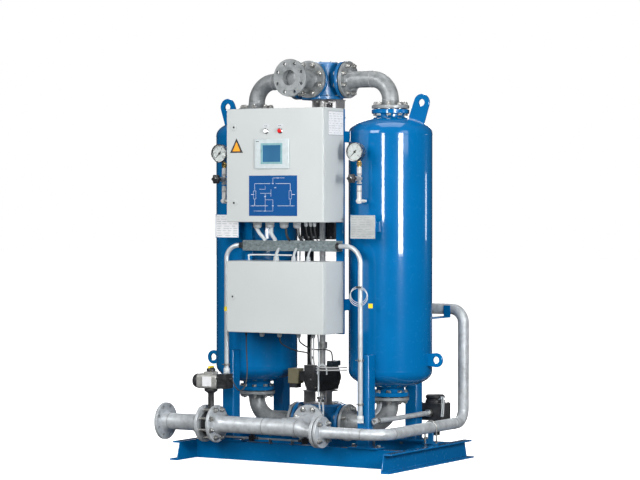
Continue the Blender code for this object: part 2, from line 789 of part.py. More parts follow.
def top_valve():
    body = valve_body("top_valve_body", TOP_LEVEL, True)
    low = TOP_LEVEL - VALVE_HALF
    deck = low - YOKE_HEIGHT
    cover = rod("top_cover", (0, 0, low - 0.010), (0, 0, low + 0.008), COVER_RADIUS, sides=16)
    stop = rod("stop_can", (STOP_X, 0, deck + 0.005), (STOP_X, 0, low - 0.015), STOP_RADIUS)
    yoke = yoke_parts("top_yoke", TOP_YOKE_DECK, TOP_YOKE_SIDES, deck, low - 0.009)
    stem_hole = rod("deck_hole", (0, 0, deck - 0.02), (0, 0, low + 0.05), SHAFT_HOLE, sides=12)
    combine(body, [cover, stop, *yoke], [stem_hole])


def bottom_valve():
    valve_body("bottom_valve_body", BOTTOM_LEVEL, False)
    foot = BOTTOM_LEVEL + VALVE_HALF + GAP
    head = ACTUATOR_Z[0] - GAP
    yoke, *others = yoke_parts("bottom_valve_yoke", LOW_YOKE_DECK, LOW_YOKE_SIDES, foot, head)
    yoke.name = "bottom_valve_yoke"
    yoke.data.materials.append(MATERIALS["bright_steel"])
    stem_hole = rod("yoke_hole", (0, 0, foot - 0.02), (0, 0, head + 0.02), SHAFT_HOLE, sides=12)
    combine(yoke, others, [stem_hole])


def rotor(name, level, stem_up):
    """A flat vane across the chamber, which joins the ports in pairs on either side of it."""
    across = Vector((math.cos(ROTOR_TILT), math.sin(ROTOR_TILT), 0))
    normal = Vector((-across.y, across.x, 0))
    reach = CHAMBER_RADIUS - 0.003
    half = CHAMBER_HALF - 0.003
    corners = [(-reach, -half), (reach, -half), (reach, half), (-reach, half)]
    outline = [across * a - normal * 0.006 + Vector((0, 0, level + h)) for a, h in corners]
    vane = prism(name, outline, normal, 0.012, "bright_steel")
    end = BOTTOM_LEVEL + VALVE_HALF - 0.001 if stem_up else TOP_LEVEL - VALVE_HALF + 0.001
    low, high = (level - half, end) if stem_up else (end, level + half)
    hub = rod(name + "_hub", (0, 0, low), (0, 0, high), 0.013)
    combine(vane, [hub])


def link_shaft():
    low = BOTTOM_LEVEL + VALVE_HALF - 0.001 + GAP
    high = TOP_LEVEL - VALVE_HALF + 0.001 - GAP
    rod("link_shaft", (0, 0, low), (0, 0, high), SHAFT_RADIUS, "bright_steel", 16)


def changeover_actuator():
    """A rack and pinion actuator that lies front to back on the lower bracket."""
    low, high = ACTUATOR_Z
    half_x, half_y = ACTUATOR_HALF
    body = block(
        "changeover_actuator", (-half_x, -half_y, low), (half_x, half_y, ACTUATOR_SHOULDER),
        "black_plastic", 0.010,
    )
    caps = []
    inner = half_y - 0.002
    for name, near, far in (("front", -ACTUATOR_REACH, -inner), ("rear", inner, ACTUATOR_REACH)):
        cap_low = (0.002 - half_x, near, low + 0.003)
        cap_high = (half_x - 0.002, far, ACTUATOR_SHOULDER - 0.003)
        caps.append(block("cap_" + name, cap_low, cap_high, None, 0.012))
    (x0, y0), (x1, y1) = SWITCH_BOX
    box = block("position_box", (x0, y0, ACTUATOR_SHOULDER - 0.005), (x1, y1, high), None)
    hole = rod("pinion_hole", (0, 0, low - 0.02), (0, 0, high + 0.02), SHAFT_HOLE, sides=16)
    combine(body, [*caps, box], [hole])


def make_valves():
    top_valve()
    bottom_valve()
    rotor("top_valve_rotor", TOP_LEVEL, False)
    rotor("bottom_valve_rotor", BOTTOM_LEVEL, True)
    link_shaft()
    changeover_actuator()


# ---- inlet butterfly valve -------------------------------------------------------------------


def make_butterfly():
    low_x = BUTTERFLY_X - BUTTERFLY_HALF
    high_x = BUTTERFLY_X + BUTTERFLY_HALF
    level = BOTTOM_LEVEL
    outer = 0.066
    bore = DN80_BORE - 0.0005
    profile = [(outer, low_x), (outer, high_x), (bore, high_x), (bore, low_x)]
    body = turned(
        "butterfly_body", profile, "cast_aluminium", (0, INLET_Y, level), (1, 0, 0), 20, hollow=True,
    )
    neck_top = INLET_ACTUATOR_Z[0] - GAP
    neck = rod("neck", (BUTTERFLY_X, INLET_Y, level + 0.055), (BUTTERFLY_X, INLET_Y, neck_top), 0.019, sides=12)
    seat = Vector((BUTTERFLY_X, INLET_Y, neck_top))
    pad = rod("neck_pad", seat - Vector((0, 0, 0.012)), seat, 0.036, sides=16)
    stem_hole = rod("stem_hole", (BUTTERFLY_X, INLET_Y, level), seat + Vector((0, 0, 0.05)), 0.0085, sides=12)
    combine(body, [neck, pad], [stem_hole])


def make_disc():
    pivot = (BUTTERFLY_X, INLET_Y, BOTTOM_LEVEL)
    profile = [(0.034, -0.005), (0.0395, -0.002), (0.0395, 0.002), (0.034, 0.005)]
    disc = turned("butterfly_disc", profile, "bright_steel", pivot, (1, 0, 0), 20, pivot=pivot)
    top = INLET_ACTUATOR_Z[1] + 0.002
    foot = (BUTTERFLY_X, INLET_Y, BOTTOM_LEVEL - 0.034)
    stem = rod("disc_stem", foot, (BUTTERFLY_X, INLET_Y, top), 0.007, sides=10)
    combine(disc, [stem])


def make_inlet_actuator():
    low, high = INLET_ACTUATOR_Z
    middle = (low + high) / 2 - 0.006
    half = 0.040
    front = INLET_Y - half
    back = INLET_Y + half
    body = block("inlet_actuator", (-0.520, front, low), (-0.385, back, high - 0.012), "cast_aluminium", 0.010)
    left = rod("actuator_cap", (-0.552, INLET_Y, middle), (-0.515, INLET_Y, middle), 0.038, sides=20)
    box = block(
        "switch_box", (-0.390, front + 0.002, low + 0.004), (-0.331, back - 0.002, high - 0.010), None, 0.008,
    )
    pad = block(
        "indicator_pad", (BUTTERFLY_X - 0.028, INLET_Y - 0.028, high - 0.015),
        (BUTTERFLY_X + 0.028, INLET_Y + 0.028, high), None,
    )
    hole = rod("stem_bore", (BUTTERFLY_X, INLET_Y, low - 0.02), (BUTTERFLY_X, INLET_Y, high + 0.02), 0.009)
    combine(body, [left, box, pad], [hole])


def make_indicator():
    """The knob on top of the inlet valve's actuator, with a bar that shows which way the disc lies."""
    low = INLET_ACTUATOR_Z[1] + 0.002 + GAP
    pivot = (BUTTERFLY_X, INLET_Y, low)
    profile = [(0.024, 0), (0.024, 0.012), (0.016, 0.020)]
    knob = turned("position_indicator", profile, "black_plastic", pivot, sides=16, pivot=pivot)
    bar = block(
        "indicator_bar", (BUTTERFLY_X - 0.006, INLET_Y - 0.022, low + 0.015),
        (BUTTERFLY_X + 0.006, INLET_Y + 0.022, low + 0.027), None,
    )
    combine(knob, [bar])


# ---- control air -----------------------------------------------------------------------------


def make_control_air():
    """A slim upright air receiver behind the enclosures, with the pilot valve block beside it."""
    x, y = RECEIVER
    low, high = RECEIVER_Z
    profile = [
        (RECEIVER_NECK, low), (RECEIVER_NECK, RECEIVER_SHOULDER),
        (RECEIVER_RADIUS, RECEIVER_SHOULDER + 0.015), (RECEIVER_RADIUS, high - 0.015), (RECEIVER_NECK, high),
    ]
    receiver = turned("control_air_unit", profile, "black_plastic", (x, y, 0), sides=16)
    foot, head = PILOT_Z
    left, right = PILOT_X
    valves = block("pilot_valves", (left, y - 0.070, foot), (right, y - 0.015, head), None)
    combine(receiver, [valves])


# ---- frame behind the enclosures -------------------------------------------------------------


def make_post(label, x, pads):
    """An upright behind the enclosures. Pads are (nearest x, farthest x, rear face) of its feet on a tower."""
    name = "post_" + label
    half = POST_WIDTH / 2
    front, back = POST_Y
    post = block(name, (x - half, front, POST_Z[0]), (x + half, back, POST_Z[1]), "machine_blue")
    near, far, rear = pads
    feet = []
    for i, height in enumerate(PAD_HEIGHTS):
        low = (near, back - 0.002, height - PAD_HALF)
        high = (far, rear, height + PAD_HALF)
        feet.append(block(f"{name}_pad_{i}", low, high, None))
    combine(post, feet)


def tower_front(x):
    """The Y of the nearer tower's front surface at x."""
    across = abs(abs(x) - TOWER_X)
    return -math.sqrt(TOWER_RADIUS ** 2 - across ** 2)


def make_posts():
    """Each pad stops just short of its tower, where a weld closes the gap."""
    right = POST_X[1] + POST_WIDTH / 2
    left = POST_X[0] - POST_WIDTH / 2
    make_post("right", POST_X[1], (right - PAD_WIDTH, right, tower_front(right) - JOINT_GAP / 2))
    make_post("left", POST_X[0], (left, left + PAD_WIDTH, tower_front(left) - JOINT_GAP / 2))


def make_tray():
    low = (BOX_LEFT + 0.006, -0.300, TRAY_MIDDLE - 0.028)
    high = (BOX_RIGHT - 0.006, BOX_BACK - GAP, TRAY_MIDDLE + 0.028)
    tray = block("cable_tray", low, high, "galvanised_steel")
    inner = block(
        "tray_inside", (low[0] - 0.01, low[1] + 0.002, low[2] + 0.002),
        (high[0] + 0.01, high[1] - 0.002, high[2] + 0.01), None,
    )
    combine(tray, cuts=[inner])


def make_conduits():
    """From either end of the tray, down in front of the towers."""
    runs = (("right", BOX_RIGHT + 0.001, 0.421, 0.266, 0.090), ("left", BOX_LEFT - 0.001, -0.413, 0.487, 0.070))
    for label, start, x, end, bend in runs:
        corners = [(start, -0.300, TRAY_MIDDLE), (x, -0.318, TRAY_MIDDLE), (x, -0.318, end)]
        pipe("conduit_" + label, corners, 0.0125, "galvanised_steel", None, bend, 5, 12)


# ---- enclosures ------------------------------------------------------------------------------


def enclosure_shell(name, z_range):
    low, high = z_range
    front = BOX_FRONT + DOOR_THICK + GAP
    shell = block(name, (BOX_LEFT, front, low), (BOX_RIGHT, BOX_BACK, high), "cabinet_grey")
    inside = block(
        name + "_inside", (BOX_LEFT + SHEET, front + 0.012, low + SHEET),
        (BOX_RIGHT - SHEET, BOX_BACK - SHEET, high - SHEET), None,
    )
    mouth = block(
        name + "_mouth", (BOX_LEFT + 0.024, front - 0.02, low + 0.024),
        (BOX_RIGHT - 0.024, front + 0.03, high - 0.024), None,
    )
    combine(shell, cuts=[inside, mouth])


def enclosure_door(name, z_range, holes):
    """A door pan, turning about its right front edge. Holes are (x, z, radius) through its face."""
    low, high = z_range
    back = BOX_FRONT + DOOR_THICK
    pivot = (BOX_RIGHT, BOX_FRONT, (low + high) / 2)
    door = block(name, (BOX_LEFT, BOX_FRONT, low), (BOX_RIGHT, back, high), "cabinet_grey", 0.002, pivot)
    rim = 0.012
    pan = block(
        name + "_pan", (BOX_LEFT + rim, BOX_FRONT + SHEET, low + rim),
        (BOX_RIGHT - rim, back + 0.02, high - rim), None,
    )
    cutters = [pan]
    for i, (x, z, radius) in enumerate(holes):
        start = (x, BOX_FRONT - 0.01, z)
        cutters.append(rod(f"{name}_hole_{i}", start, (x, BOX_FRONT + 0.01, z), radius, sides=16))
    combine(door, cuts=cutters)


def make_lock(name, x, z):
    """A quarter-turn cam lock: an insert in the door's face and the cam behind it."""
    pivot = (x, BOX_FRONT, z)
    radius = LOCK_RADIUS - GAP
    profile = [(radius + 0.004, -0.003), (radius + 0.004, -GAP), (radius, -GAP), (radius, 0.014)]
    insert = turned(name, profile, "bright_steel", pivot, (0, 1, 0), 16, pivot=pivot)
    cam_low = (x - 0.007, BOX_FRONT + 0.010, z - 0.008)
    cam = block(name + "_cam", cam_low, (x + 0.007, BOX_FRONT + 0.013, z + 0.034), None)
    combine(insert, [cam])


def make_button(name, x, material):
    pivot = (x, BOX_FRONT, BUTTON_Z)
    radius = BUTTON_RADIUS - GAP
    profile = [(radius, -0.014), (radius, 0.010)]
    turned(name, profile, material, pivot, (0, 1, 0), 16, pivot=pivot)


def make_touch_panel():
    x, z = PANEL_CENTRE
    width, height = PANEL_SIZE
    block(
        "touch_panel", (x - width / 2, BOX_FRONT - 0.008, z - height / 2),
        (x + width / 2, BOX_FRONT - GAP, z + height / 2), "panel_plastic", 0.003,
    )


def make_mounting_plate():
    low, high = CABINET_Z
    margin = 0.035
    back = BOX_BACK - SHEET - GAP
    plate = block(
        "mounting_plate", (BOX_LEFT + margin, back - 0.015, low + margin),
        (BOX_RIGHT - margin, back - 0.012, high - margin), "galvanised_steel",
    )
    studs = []
    for i, x in enumerate((BOX_LEFT + 0.06, BOX_RIGHT - 0.06)):
        for j, z in enumerate((low + 0.06, high - 0.06)):
            studs.append(rod(f"stud_{i}{j}", (x, back - 0.014, z), (x, back, z), 0.006, sides=8))
    combine(plate, studs)


def make_enclosures():
    enclosure_shell("cabinet_shell", CABINET_Z)
    holes = [(LOCK_X, z, LOCK_RADIUS) for _, z in CABINET_LOCKS]
    holes += [(x, BUTTON_Z, BUTTON_RADIUS) for _, x, _ in BUTTONS]
    enclosure_door("cabinet_door", CABINET_Z, holes)
    enclosure_shell("power_box_shell", POWER_BOX_Z)
    enclosure_door("power_box_door", POWER_BOX_Z, [(*POWER_LOCK, LOCK_RADIUS)])
    for name, z in CABINET_LOCKS:
        make_lock(name, LOCK_X, z)
    make_lock("power_box_lock", *POWER_LOCK)
    for name, x, material in BUTTONS:
        make_button(name, x, material)
    make_touch_panel()
    make_mounting_plate()


# ---- gauges ----------------------------------------------------------------------------------


def make_gauge(label, x):
    """A pressure gauge on its stop valve and the tapping into the tower."""
    name = "gauge_" + label
    face = GAUGE_Y - 0.043
    dial = face + 0.010
    back = GAUGE_Y - 0.002
    profile = [
        (GAUGE_RADIUS, back), (GAUGE_RADIUS, face), (GAUGE_RADIUS - 0.004, face), (GAUGE_RADIUS - 0.004, dial),
    ]
    case = turned(name, profile, "gauge_steel", (x, 0, GAUGE_Z), (0, 1, 0), 20)
    stem_y = GAUGE_Y - 0.020
    stem = rod(name + "_stem", (x, stem_y, TAP_Z - 0.012), (x, stem_y, GAUGE_Z - 0.040), STEM_RADIUS)
    valve = rod(name + "_valve", (x, stem_y - KNOB_REACH, KNOB_Z), (x, stem_y + 0.012, KNOB_Z), 0.014, sides=10)
    tap = rod(name + "_tap", (x, stem_y, TAP_Z), (x, tower_front(x) - JOINT_GAP, TAP_Z), 0.010, sides=10)
    combine(case, [stem, valve, tap])
    make_needle("gauge_needle_" + label, x, face)
    make_knob("gauge_knob_" + label, x, stem_y - KNOB_REACH - GAP)


def make_needle(name, x, face):
    """The pointer, at the zero mark at the lower left of the dial."""
    pivot = (x, face + 0.006, GAUGE_Z)
    tip = Vector((math.cos(NEEDLE_REST), 0, math.sin(NEEDLE_REST)))
    side = Vector((-tip.z, 0, tip.x)) * 0.003
    centre = Vector(pivot)
    outline = [centre + tip * 0.036, centre + side - tip * 0.014, centre - side - tip * 0.014]
    needle = prism(name, outline, (0, -1, 0), 0.0015, "black_plastic", pivot)
    hub = rod(name + "_hub", centre + Vector((0, -0.003, 0)), centre + Vector((0, 0.0035, 0)), 0.005, sides=12)
    combine(needle, [hub])


def make_knob(name, x, start):
    """A lobed hand knob."""
    lobes = 6
    points = 24
    depth = 0.022
    pivot = (x, start, KNOB_Z)
    outline = []
    for i in range(points):
        turn = 2 * math.pi * i / points
        radius = 0.0235 + 0.0030 * math.cos(lobes * turn)
        across = radius * math.cos(turn)
        outline.append(Vector((x + across, start - 0.012, KNOB_Z + radius * math.sin(turn))))
    knob = prism(name, outline, (0, -1, 0), depth, "black_plastic", pivot)
    spindle = rod(name + "_spindle", (x, start, KNOB_Z), (x, start - 0.014, KNOB_Z), 0.007)
    combine(knob, [spindle])


# ---- actuator cable --------------------------------------------------------------------------


def smooth_route(points, per_span):
    """Reads a Catmull-Rom curve through the points."""
    pts = [Vector(p) for p in points]
    pts = [2 * pts[0] - pts[1]] + pts + [2 * pts[-1] - pts[-2]]
    out = []
    for a, b, c, d in zip(pts, pts[1:], pts[2:], pts[3:]):
        for i in range(per_span):
            t = i / per_span
            square = (2 * a - 5 * b + 4 * c - d) * t * t
            cube = (3 * b - a - 3 * c + d) * t ** 3
            out.append(0.5 * (2 * b + (c - a) * t + square + cube))
    return out + [pts[-2]]


def make_cable():
    curve = bpy.data.curves.new("actuator_cable", "CURVE")
    curve.dimensions = "3D"
    curve.bevel_depth = CABLE_RADIUS
    curve.bevel_resolution = 2
    curve.use_fill_caps = True
    spline = curve.splines.new("POLY")
    route_points = smooth_route(CABLE_POINTS, 2)
    spline.points.add(len(route_points) - 1)
    for point, place in zip(spline.points, route_points):
        point.co = (*place, 1.0)
    cable = bpy.data.objects.new("actuator_cable", curve)
    cable.parent = DATUM
    curve.materials.append(MATERIALS["cable_rubber"])
    bpy.context.collection.objects.link(cable)


def build():
    make_skid()
    make_towers()
    make_elbows()
    make_outlet_spool()
    make_inlet_spool()
    make_inlet_manifold()
    make_regen_line()
    make_cooler()
    make_return_pipe()
    make_vent()
    make_valves()
    make_butterfly()
    make_disc()
    make_inlet_actuator()
    make_indicator()
    make_control_air()
    make_posts()
    make_tray()
    make_conduits()
    make_enclosures()
    for label, x in zip(("left", "right"), GAUGE_X):
        make_gauge(label, x)
    make_cable()


build()
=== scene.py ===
"""Looks of a twin-tower adsorption air dryer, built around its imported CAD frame.

Every piece is drawn in the skid's own frame, whose origin is the middle of the skid at floor level, and
Shape.finish moves it into the row's frame. Units are metres: X to the right, Y to the back, Z up.
"""

import json
import math
import random

import bmesh
import bpy
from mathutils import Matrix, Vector


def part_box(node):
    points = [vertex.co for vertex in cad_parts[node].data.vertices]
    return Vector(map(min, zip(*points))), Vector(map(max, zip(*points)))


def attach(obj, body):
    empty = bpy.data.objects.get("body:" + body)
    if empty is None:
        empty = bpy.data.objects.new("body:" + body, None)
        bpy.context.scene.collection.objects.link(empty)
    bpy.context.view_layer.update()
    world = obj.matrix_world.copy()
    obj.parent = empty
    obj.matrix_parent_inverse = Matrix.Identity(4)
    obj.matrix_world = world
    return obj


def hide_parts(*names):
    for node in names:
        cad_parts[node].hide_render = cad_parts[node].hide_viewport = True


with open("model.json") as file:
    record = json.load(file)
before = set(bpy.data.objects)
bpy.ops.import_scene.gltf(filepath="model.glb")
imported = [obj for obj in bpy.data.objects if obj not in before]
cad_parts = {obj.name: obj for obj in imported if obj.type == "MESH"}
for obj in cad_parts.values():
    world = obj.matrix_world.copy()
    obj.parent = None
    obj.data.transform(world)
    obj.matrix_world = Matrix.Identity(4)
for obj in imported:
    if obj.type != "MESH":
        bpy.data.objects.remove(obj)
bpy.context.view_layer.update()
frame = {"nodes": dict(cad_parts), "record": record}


# ---- pipe and flange sizes, DN80 and DN50 PN16 ------------------------------------------------

PIPE80 = 0.04445
BORE80 = 0.0410
BEND80 = 0.1143
FLANGE80 = 0.100
CIRCLE80 = 0.080
PIPE50 = 0.03015
BORE50 = 0.0273
BEND50 = 0.0760
LONG_BEND50 = BEND50 * 1.5
FLANGE50 = 0.0825
CIRCLE50 = 0.0625
PLATE = 0.020
RAISED = 0.003
BOLT = 0.012
FLANGE_EDGE = 0.0015

# ---- places read from the frame ---------------------------------------------------------------

LEFT_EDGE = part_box("skid_beam_left")[0].x
RIGHT_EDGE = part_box("skid_beam_right")[1].x
ORIGIN = Vector(((LEFT_EDGE + RIGHT_EDGE) / 2, 0.0, 0.0))


def span(node):
    """A node's lowest and highest corners in the skid's frame."""
    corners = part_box(node)
    return corners[0] - ORIGIN, corners[1] - ORIGIN


def middle(node):
    """The middle of a node's box, in the skid's frame."""
    return (span(node)[0] + span(node)[1]) / 2


TOWER_X = middle("desiccant_right").x
TOWER_RADIUS = span("tower_right")[1].y
TOP_LEVEL = middle("outlet_spool").z
BOTTOM_LEVEL = middle("inlet_spool").z
PORT_REACH = span("top_valve_body")[1].x
PORT_FRONT = span("top_valve_body")[1].y
NOZZLE_TOP = span("top_elbow_left")[0].z
NOZZLE_BOTTOM = span("bottom_elbow_left")[1].z
INLET_Y = middle("inlet_spool").y
INLET_FACE = span("inlet_spool")[0].x
OUTLET_FACE = span("outlet_spool")[0].y
BUTTERFLY_X = middle("butterfly_disc").x
DN50_LEVEL = BOTTOM_LEVEL - (PIPE80 - PIPE50)
DN50_JOINT = span("regen_line")[0].x
RISER_X = span("regen_riser")[1].x - PIPE50
RISER_Y = span("regen_riser")[1].y - PIPE50
RISER_TOP = span("regen_riser")[1].z - PIPE50
COOLER = Vector((0.160, 0.370, 0.0))
DOOR_FRONT = span("cabinet_door")[0].y
BOX_LEFT = span("cabinet_door")[0].x
BOX_RIGHT = span("cabinet_door")[1].x
BOX_BACK = span("cabinet_shell")[1].y

X_AXIS = Vector((1, 0, 0))
Y_AXIS = Vector((0, 1, 0))
Z_AXIS = Vector((0, 0, 1))


# ---- camera -----------------------------------------------------------------------------------

CAMERA_PLACE = Vector((6.690, -11.161, 1.405))
CAMERA_AZIMUTH = math.radians(31)
CAMERA_DIP = math.radians(0.955)
CAMERA_LENS = 135
SENSOR_WIDTH = 36
CAMERA_REACH = 100


def make_camera():
    """The main camera, aimed by its azimuth and its dip."""
    camera = bpy.data.cameras.new("camera")
    camera.lens = CAMERA_LENS
    camera.sensor_width = SENSOR_WIDTH
    camera.clip_end = CAMERA_REACH
    obj = bpy.data.objects.new("camera", camera)
    bpy.context.collection.objects.link(obj)
    obj.location = CAMERA_PLACE + ORIGIN
    obj.rotation_euler = (math.pi / 2 - CAMERA_DIP, 0, CAMERA_AZIMUTH)
    bpy.context.scene.camera = obj


# ---- materials --------------------------------------------------------------------------------


class Finish:
    """A Principled material with helpers for the procedural detail in it."""

    def __init__(self, name, colour, metallic=0.0, roughness=0.4, **sockets):
        self.material = bpy.data.materials.new(name)
        self.material.use_nodes = True
        self.nodes = self.material.node_tree.nodes
        self.links = self.material.node_tree.links
        self.shader = self.nodes["Principled BSDF"]
        self.shader.inputs["Base Color"].default_value = (*colour, 1)
        self.shader.inputs["Metallic"].default_value = metallic
        self.shader.inputs["Roughness"].default_value = roughness
        for socket, value in sockets.items():
            self.shader.inputs[socket.replace("_", " ")].default_value = value
        self.place = self.nodes.new("ShaderNodeTexCoord").outputs["Object"]
        self.normal = None

    def texture(self, kind, scale, stretch):
        mapping = self.nodes.new("ShaderNodeMapping")
        mapping.inputs["Scale"].default_value = stretch
        self.links.new(self.place, mapping.inputs["Vector"])
        node = self.nodes.new(kind)
        node.inputs["Scale"].default_value = scale
        self.links.new(mapping.outputs["Vector"], node.inputs["Vector"])
        return node

    def noise(self, scale, detail, stretch=(1, 1, 1), roughness=0.55):
        node = self.texture("ShaderNodeTexNoise", scale, stretch)
        node.inputs["Detail"].default_value = detail
        node.inputs["Roughness"].default_value = roughness
        return node.outputs["Fac"]

    def cells(self, scale, stretch):
        return self.texture("ShaderNodeTexVoronoi", scale, stretch).outputs["Color"]

    def ramp(self, source, stops):
        node = self.nodes.new("ShaderNodeValToRGB")
        ramp = node.color_ramp
        while len(ramp.elements) < len(stops):
            ramp.elements.new(0.5)
        for element, (position, colour) in zip(ramp.elements, stops):
            element.position = position
            element.color = (*colour, 1) if isinstance(colour, tuple) else (colour, colour, colour, 1)
        self.links.new(source, node.inputs["Fac"])
        return node.outputs["Color"]

    def paint(self, source, stops):
        self.links.new(self.ramp(source, stops), self.shader.inputs["Base Color"])

    def gloss(self, source, lowest, highest):
        stops = [(0.35, lowest), (0.65, highest)]
        self.links.new(self.ramp(source, stops), self.shader.inputs["Roughness"])

    def bump(self, source, distance, strength):
        node = self.nodes.new("ShaderNodeBump")
        node.inputs["Distance"].default_value = distance
        node.inputs["Strength"].default_value = strength
        self.links.new(source, node.inputs["Height"])
        if self.normal:
            self.links.new(self.normal, node.inputs["Normal"])
        self.normal = node.outputs["Normal"]
        self.links.new(self.normal, self.shader.inputs["Normal"])


def tint(colour, factor):
    """A colour made darker or lighter by a factor."""
    return tuple(min(1.0, c * factor) for c in colour)


def mottled(name, colour, metallic, roughness, shade, gloss, relief=None, stops=(0.35, 0.65), **sockets):
    """A finish whose colour, gloss and relief each follow a noise of their own.

    shade is (scale, detail, darkest, lightest), gloss is (scale, detail, lowest, highest) and relief is
    (scale, detail, distance, strength). Each may end with the stretch of its noise.
    """
    made = Finish(name, colour, metallic, roughness, **sockets)
    scale, detail, dark, light, *stretch = shade
    shades = [(stops[0], tint(colour, dark)), (stops[1], tint(colour, light))]
    made.paint(made.noise(scale, detail, *stretch), shades)
    scale, detail, lowest, highest, *stretch = gloss
    made.gloss(made.noise(scale, detail, *stretch), lowest, highest)
    if relief:
        scale, detail, distance, strength, *stretch = relief
        made.bump(made.noise(scale, detail, *stretch), distance, strength)
    return made.material


def moulded(name, colour, roughness=0.4):
    """A plain moulded or painted finish with a faint grain."""
    gloss = (110, 2, roughness * 0.85, roughness * 1.15)
    return mottled(name, colour, 0.0, roughness, (40, 3, 0.93, 1.04), gloss, (800, 2, 0.0002, 0.3))


def silver_pipe(name, dark, light):
    """Galvanised or aluminium-painted pipe, cloudy and a little rough."""
    made = Finish(name, light, 0.35, 0.42)
    made.paint(made.noise(22, 5, roughness=0.65), [(0.32, dark), (0.52, tint(light, 0.85)), (0.70, light)])
    made.gloss(made.noise(55, 4), 0.34, 0.55)
    made.bump(made.noise(330, 3), 0.0008, 0.45)
    made.bump(made.noise(30, 2), 0.0016, 0.25)
    return made.material


def cast_flange():
    """Sand-cast steel, darker and coarser than the pipe."""
    dark = (0.220, 0.235, 0.245)
    light = (0.400, 0.420, 0.435)
    made = Finish("cast_flange", light, 0.35, 0.5)
    made.paint(made.noise(45, 5, roughness=0.7), [(0.30, dark), (0.52, tint(light, 0.85)), (0.72, light)])
    made.gloss(made.noise(80, 4), 0.38, 0.62)
    made.bump(made.noise(420, 4), 0.0010, 0.50)
    return made.material


def galvanised_sheet():
    """Zinc-coated sheet with its spangle."""
    light = (0.330, 0.400, 0.420)
    made = Finish("galvanised_sheet", light, 0.7, 0.42)
    made.paint(
        made.cells(75, (1, 1, 1.6)),
        [(0.1, tint(light, 0.62)), (0.5, tint(light, 0.85)), (0.9, tint(light, 1.1))],
    )
    made.gloss(made.noise(90, 3), 0.30, 0.50)
    made.bump(made.noise(240, 2), 0.0004, 0.30)
    return made.material


def clear_glass():
    """A thin flat glass that bends light very little."""
    made = Finish("gauge_glass", (0.98, 0.99, 0.99), 0.0, 0.03, Transmission_Weight=1.0, IOR=1.12)
    made.gloss(made.noise(12, 2), 0.01, 0.05)
    return made.material


def glowing_screen():
    """A lit operator screen with an even blue picture area."""
    made = Finish("panel_screen", (0.020, 0.085, 0.170), 0.0, 0.12, Coat_Weight=0.6, Coat_Roughness=0.05)
    made.shader.inputs["Emission Color"].default_value = (0.040, 0.150, 0.290, 1)
    made.shader.inputs["Emission Strength"].default_value = 0.35
    made.paint(made.noise(9, 1), [(0.3, (0.018, 0.075, 0.155)), (0.7, (0.028, 0.105, 0.200))])
    return made.material


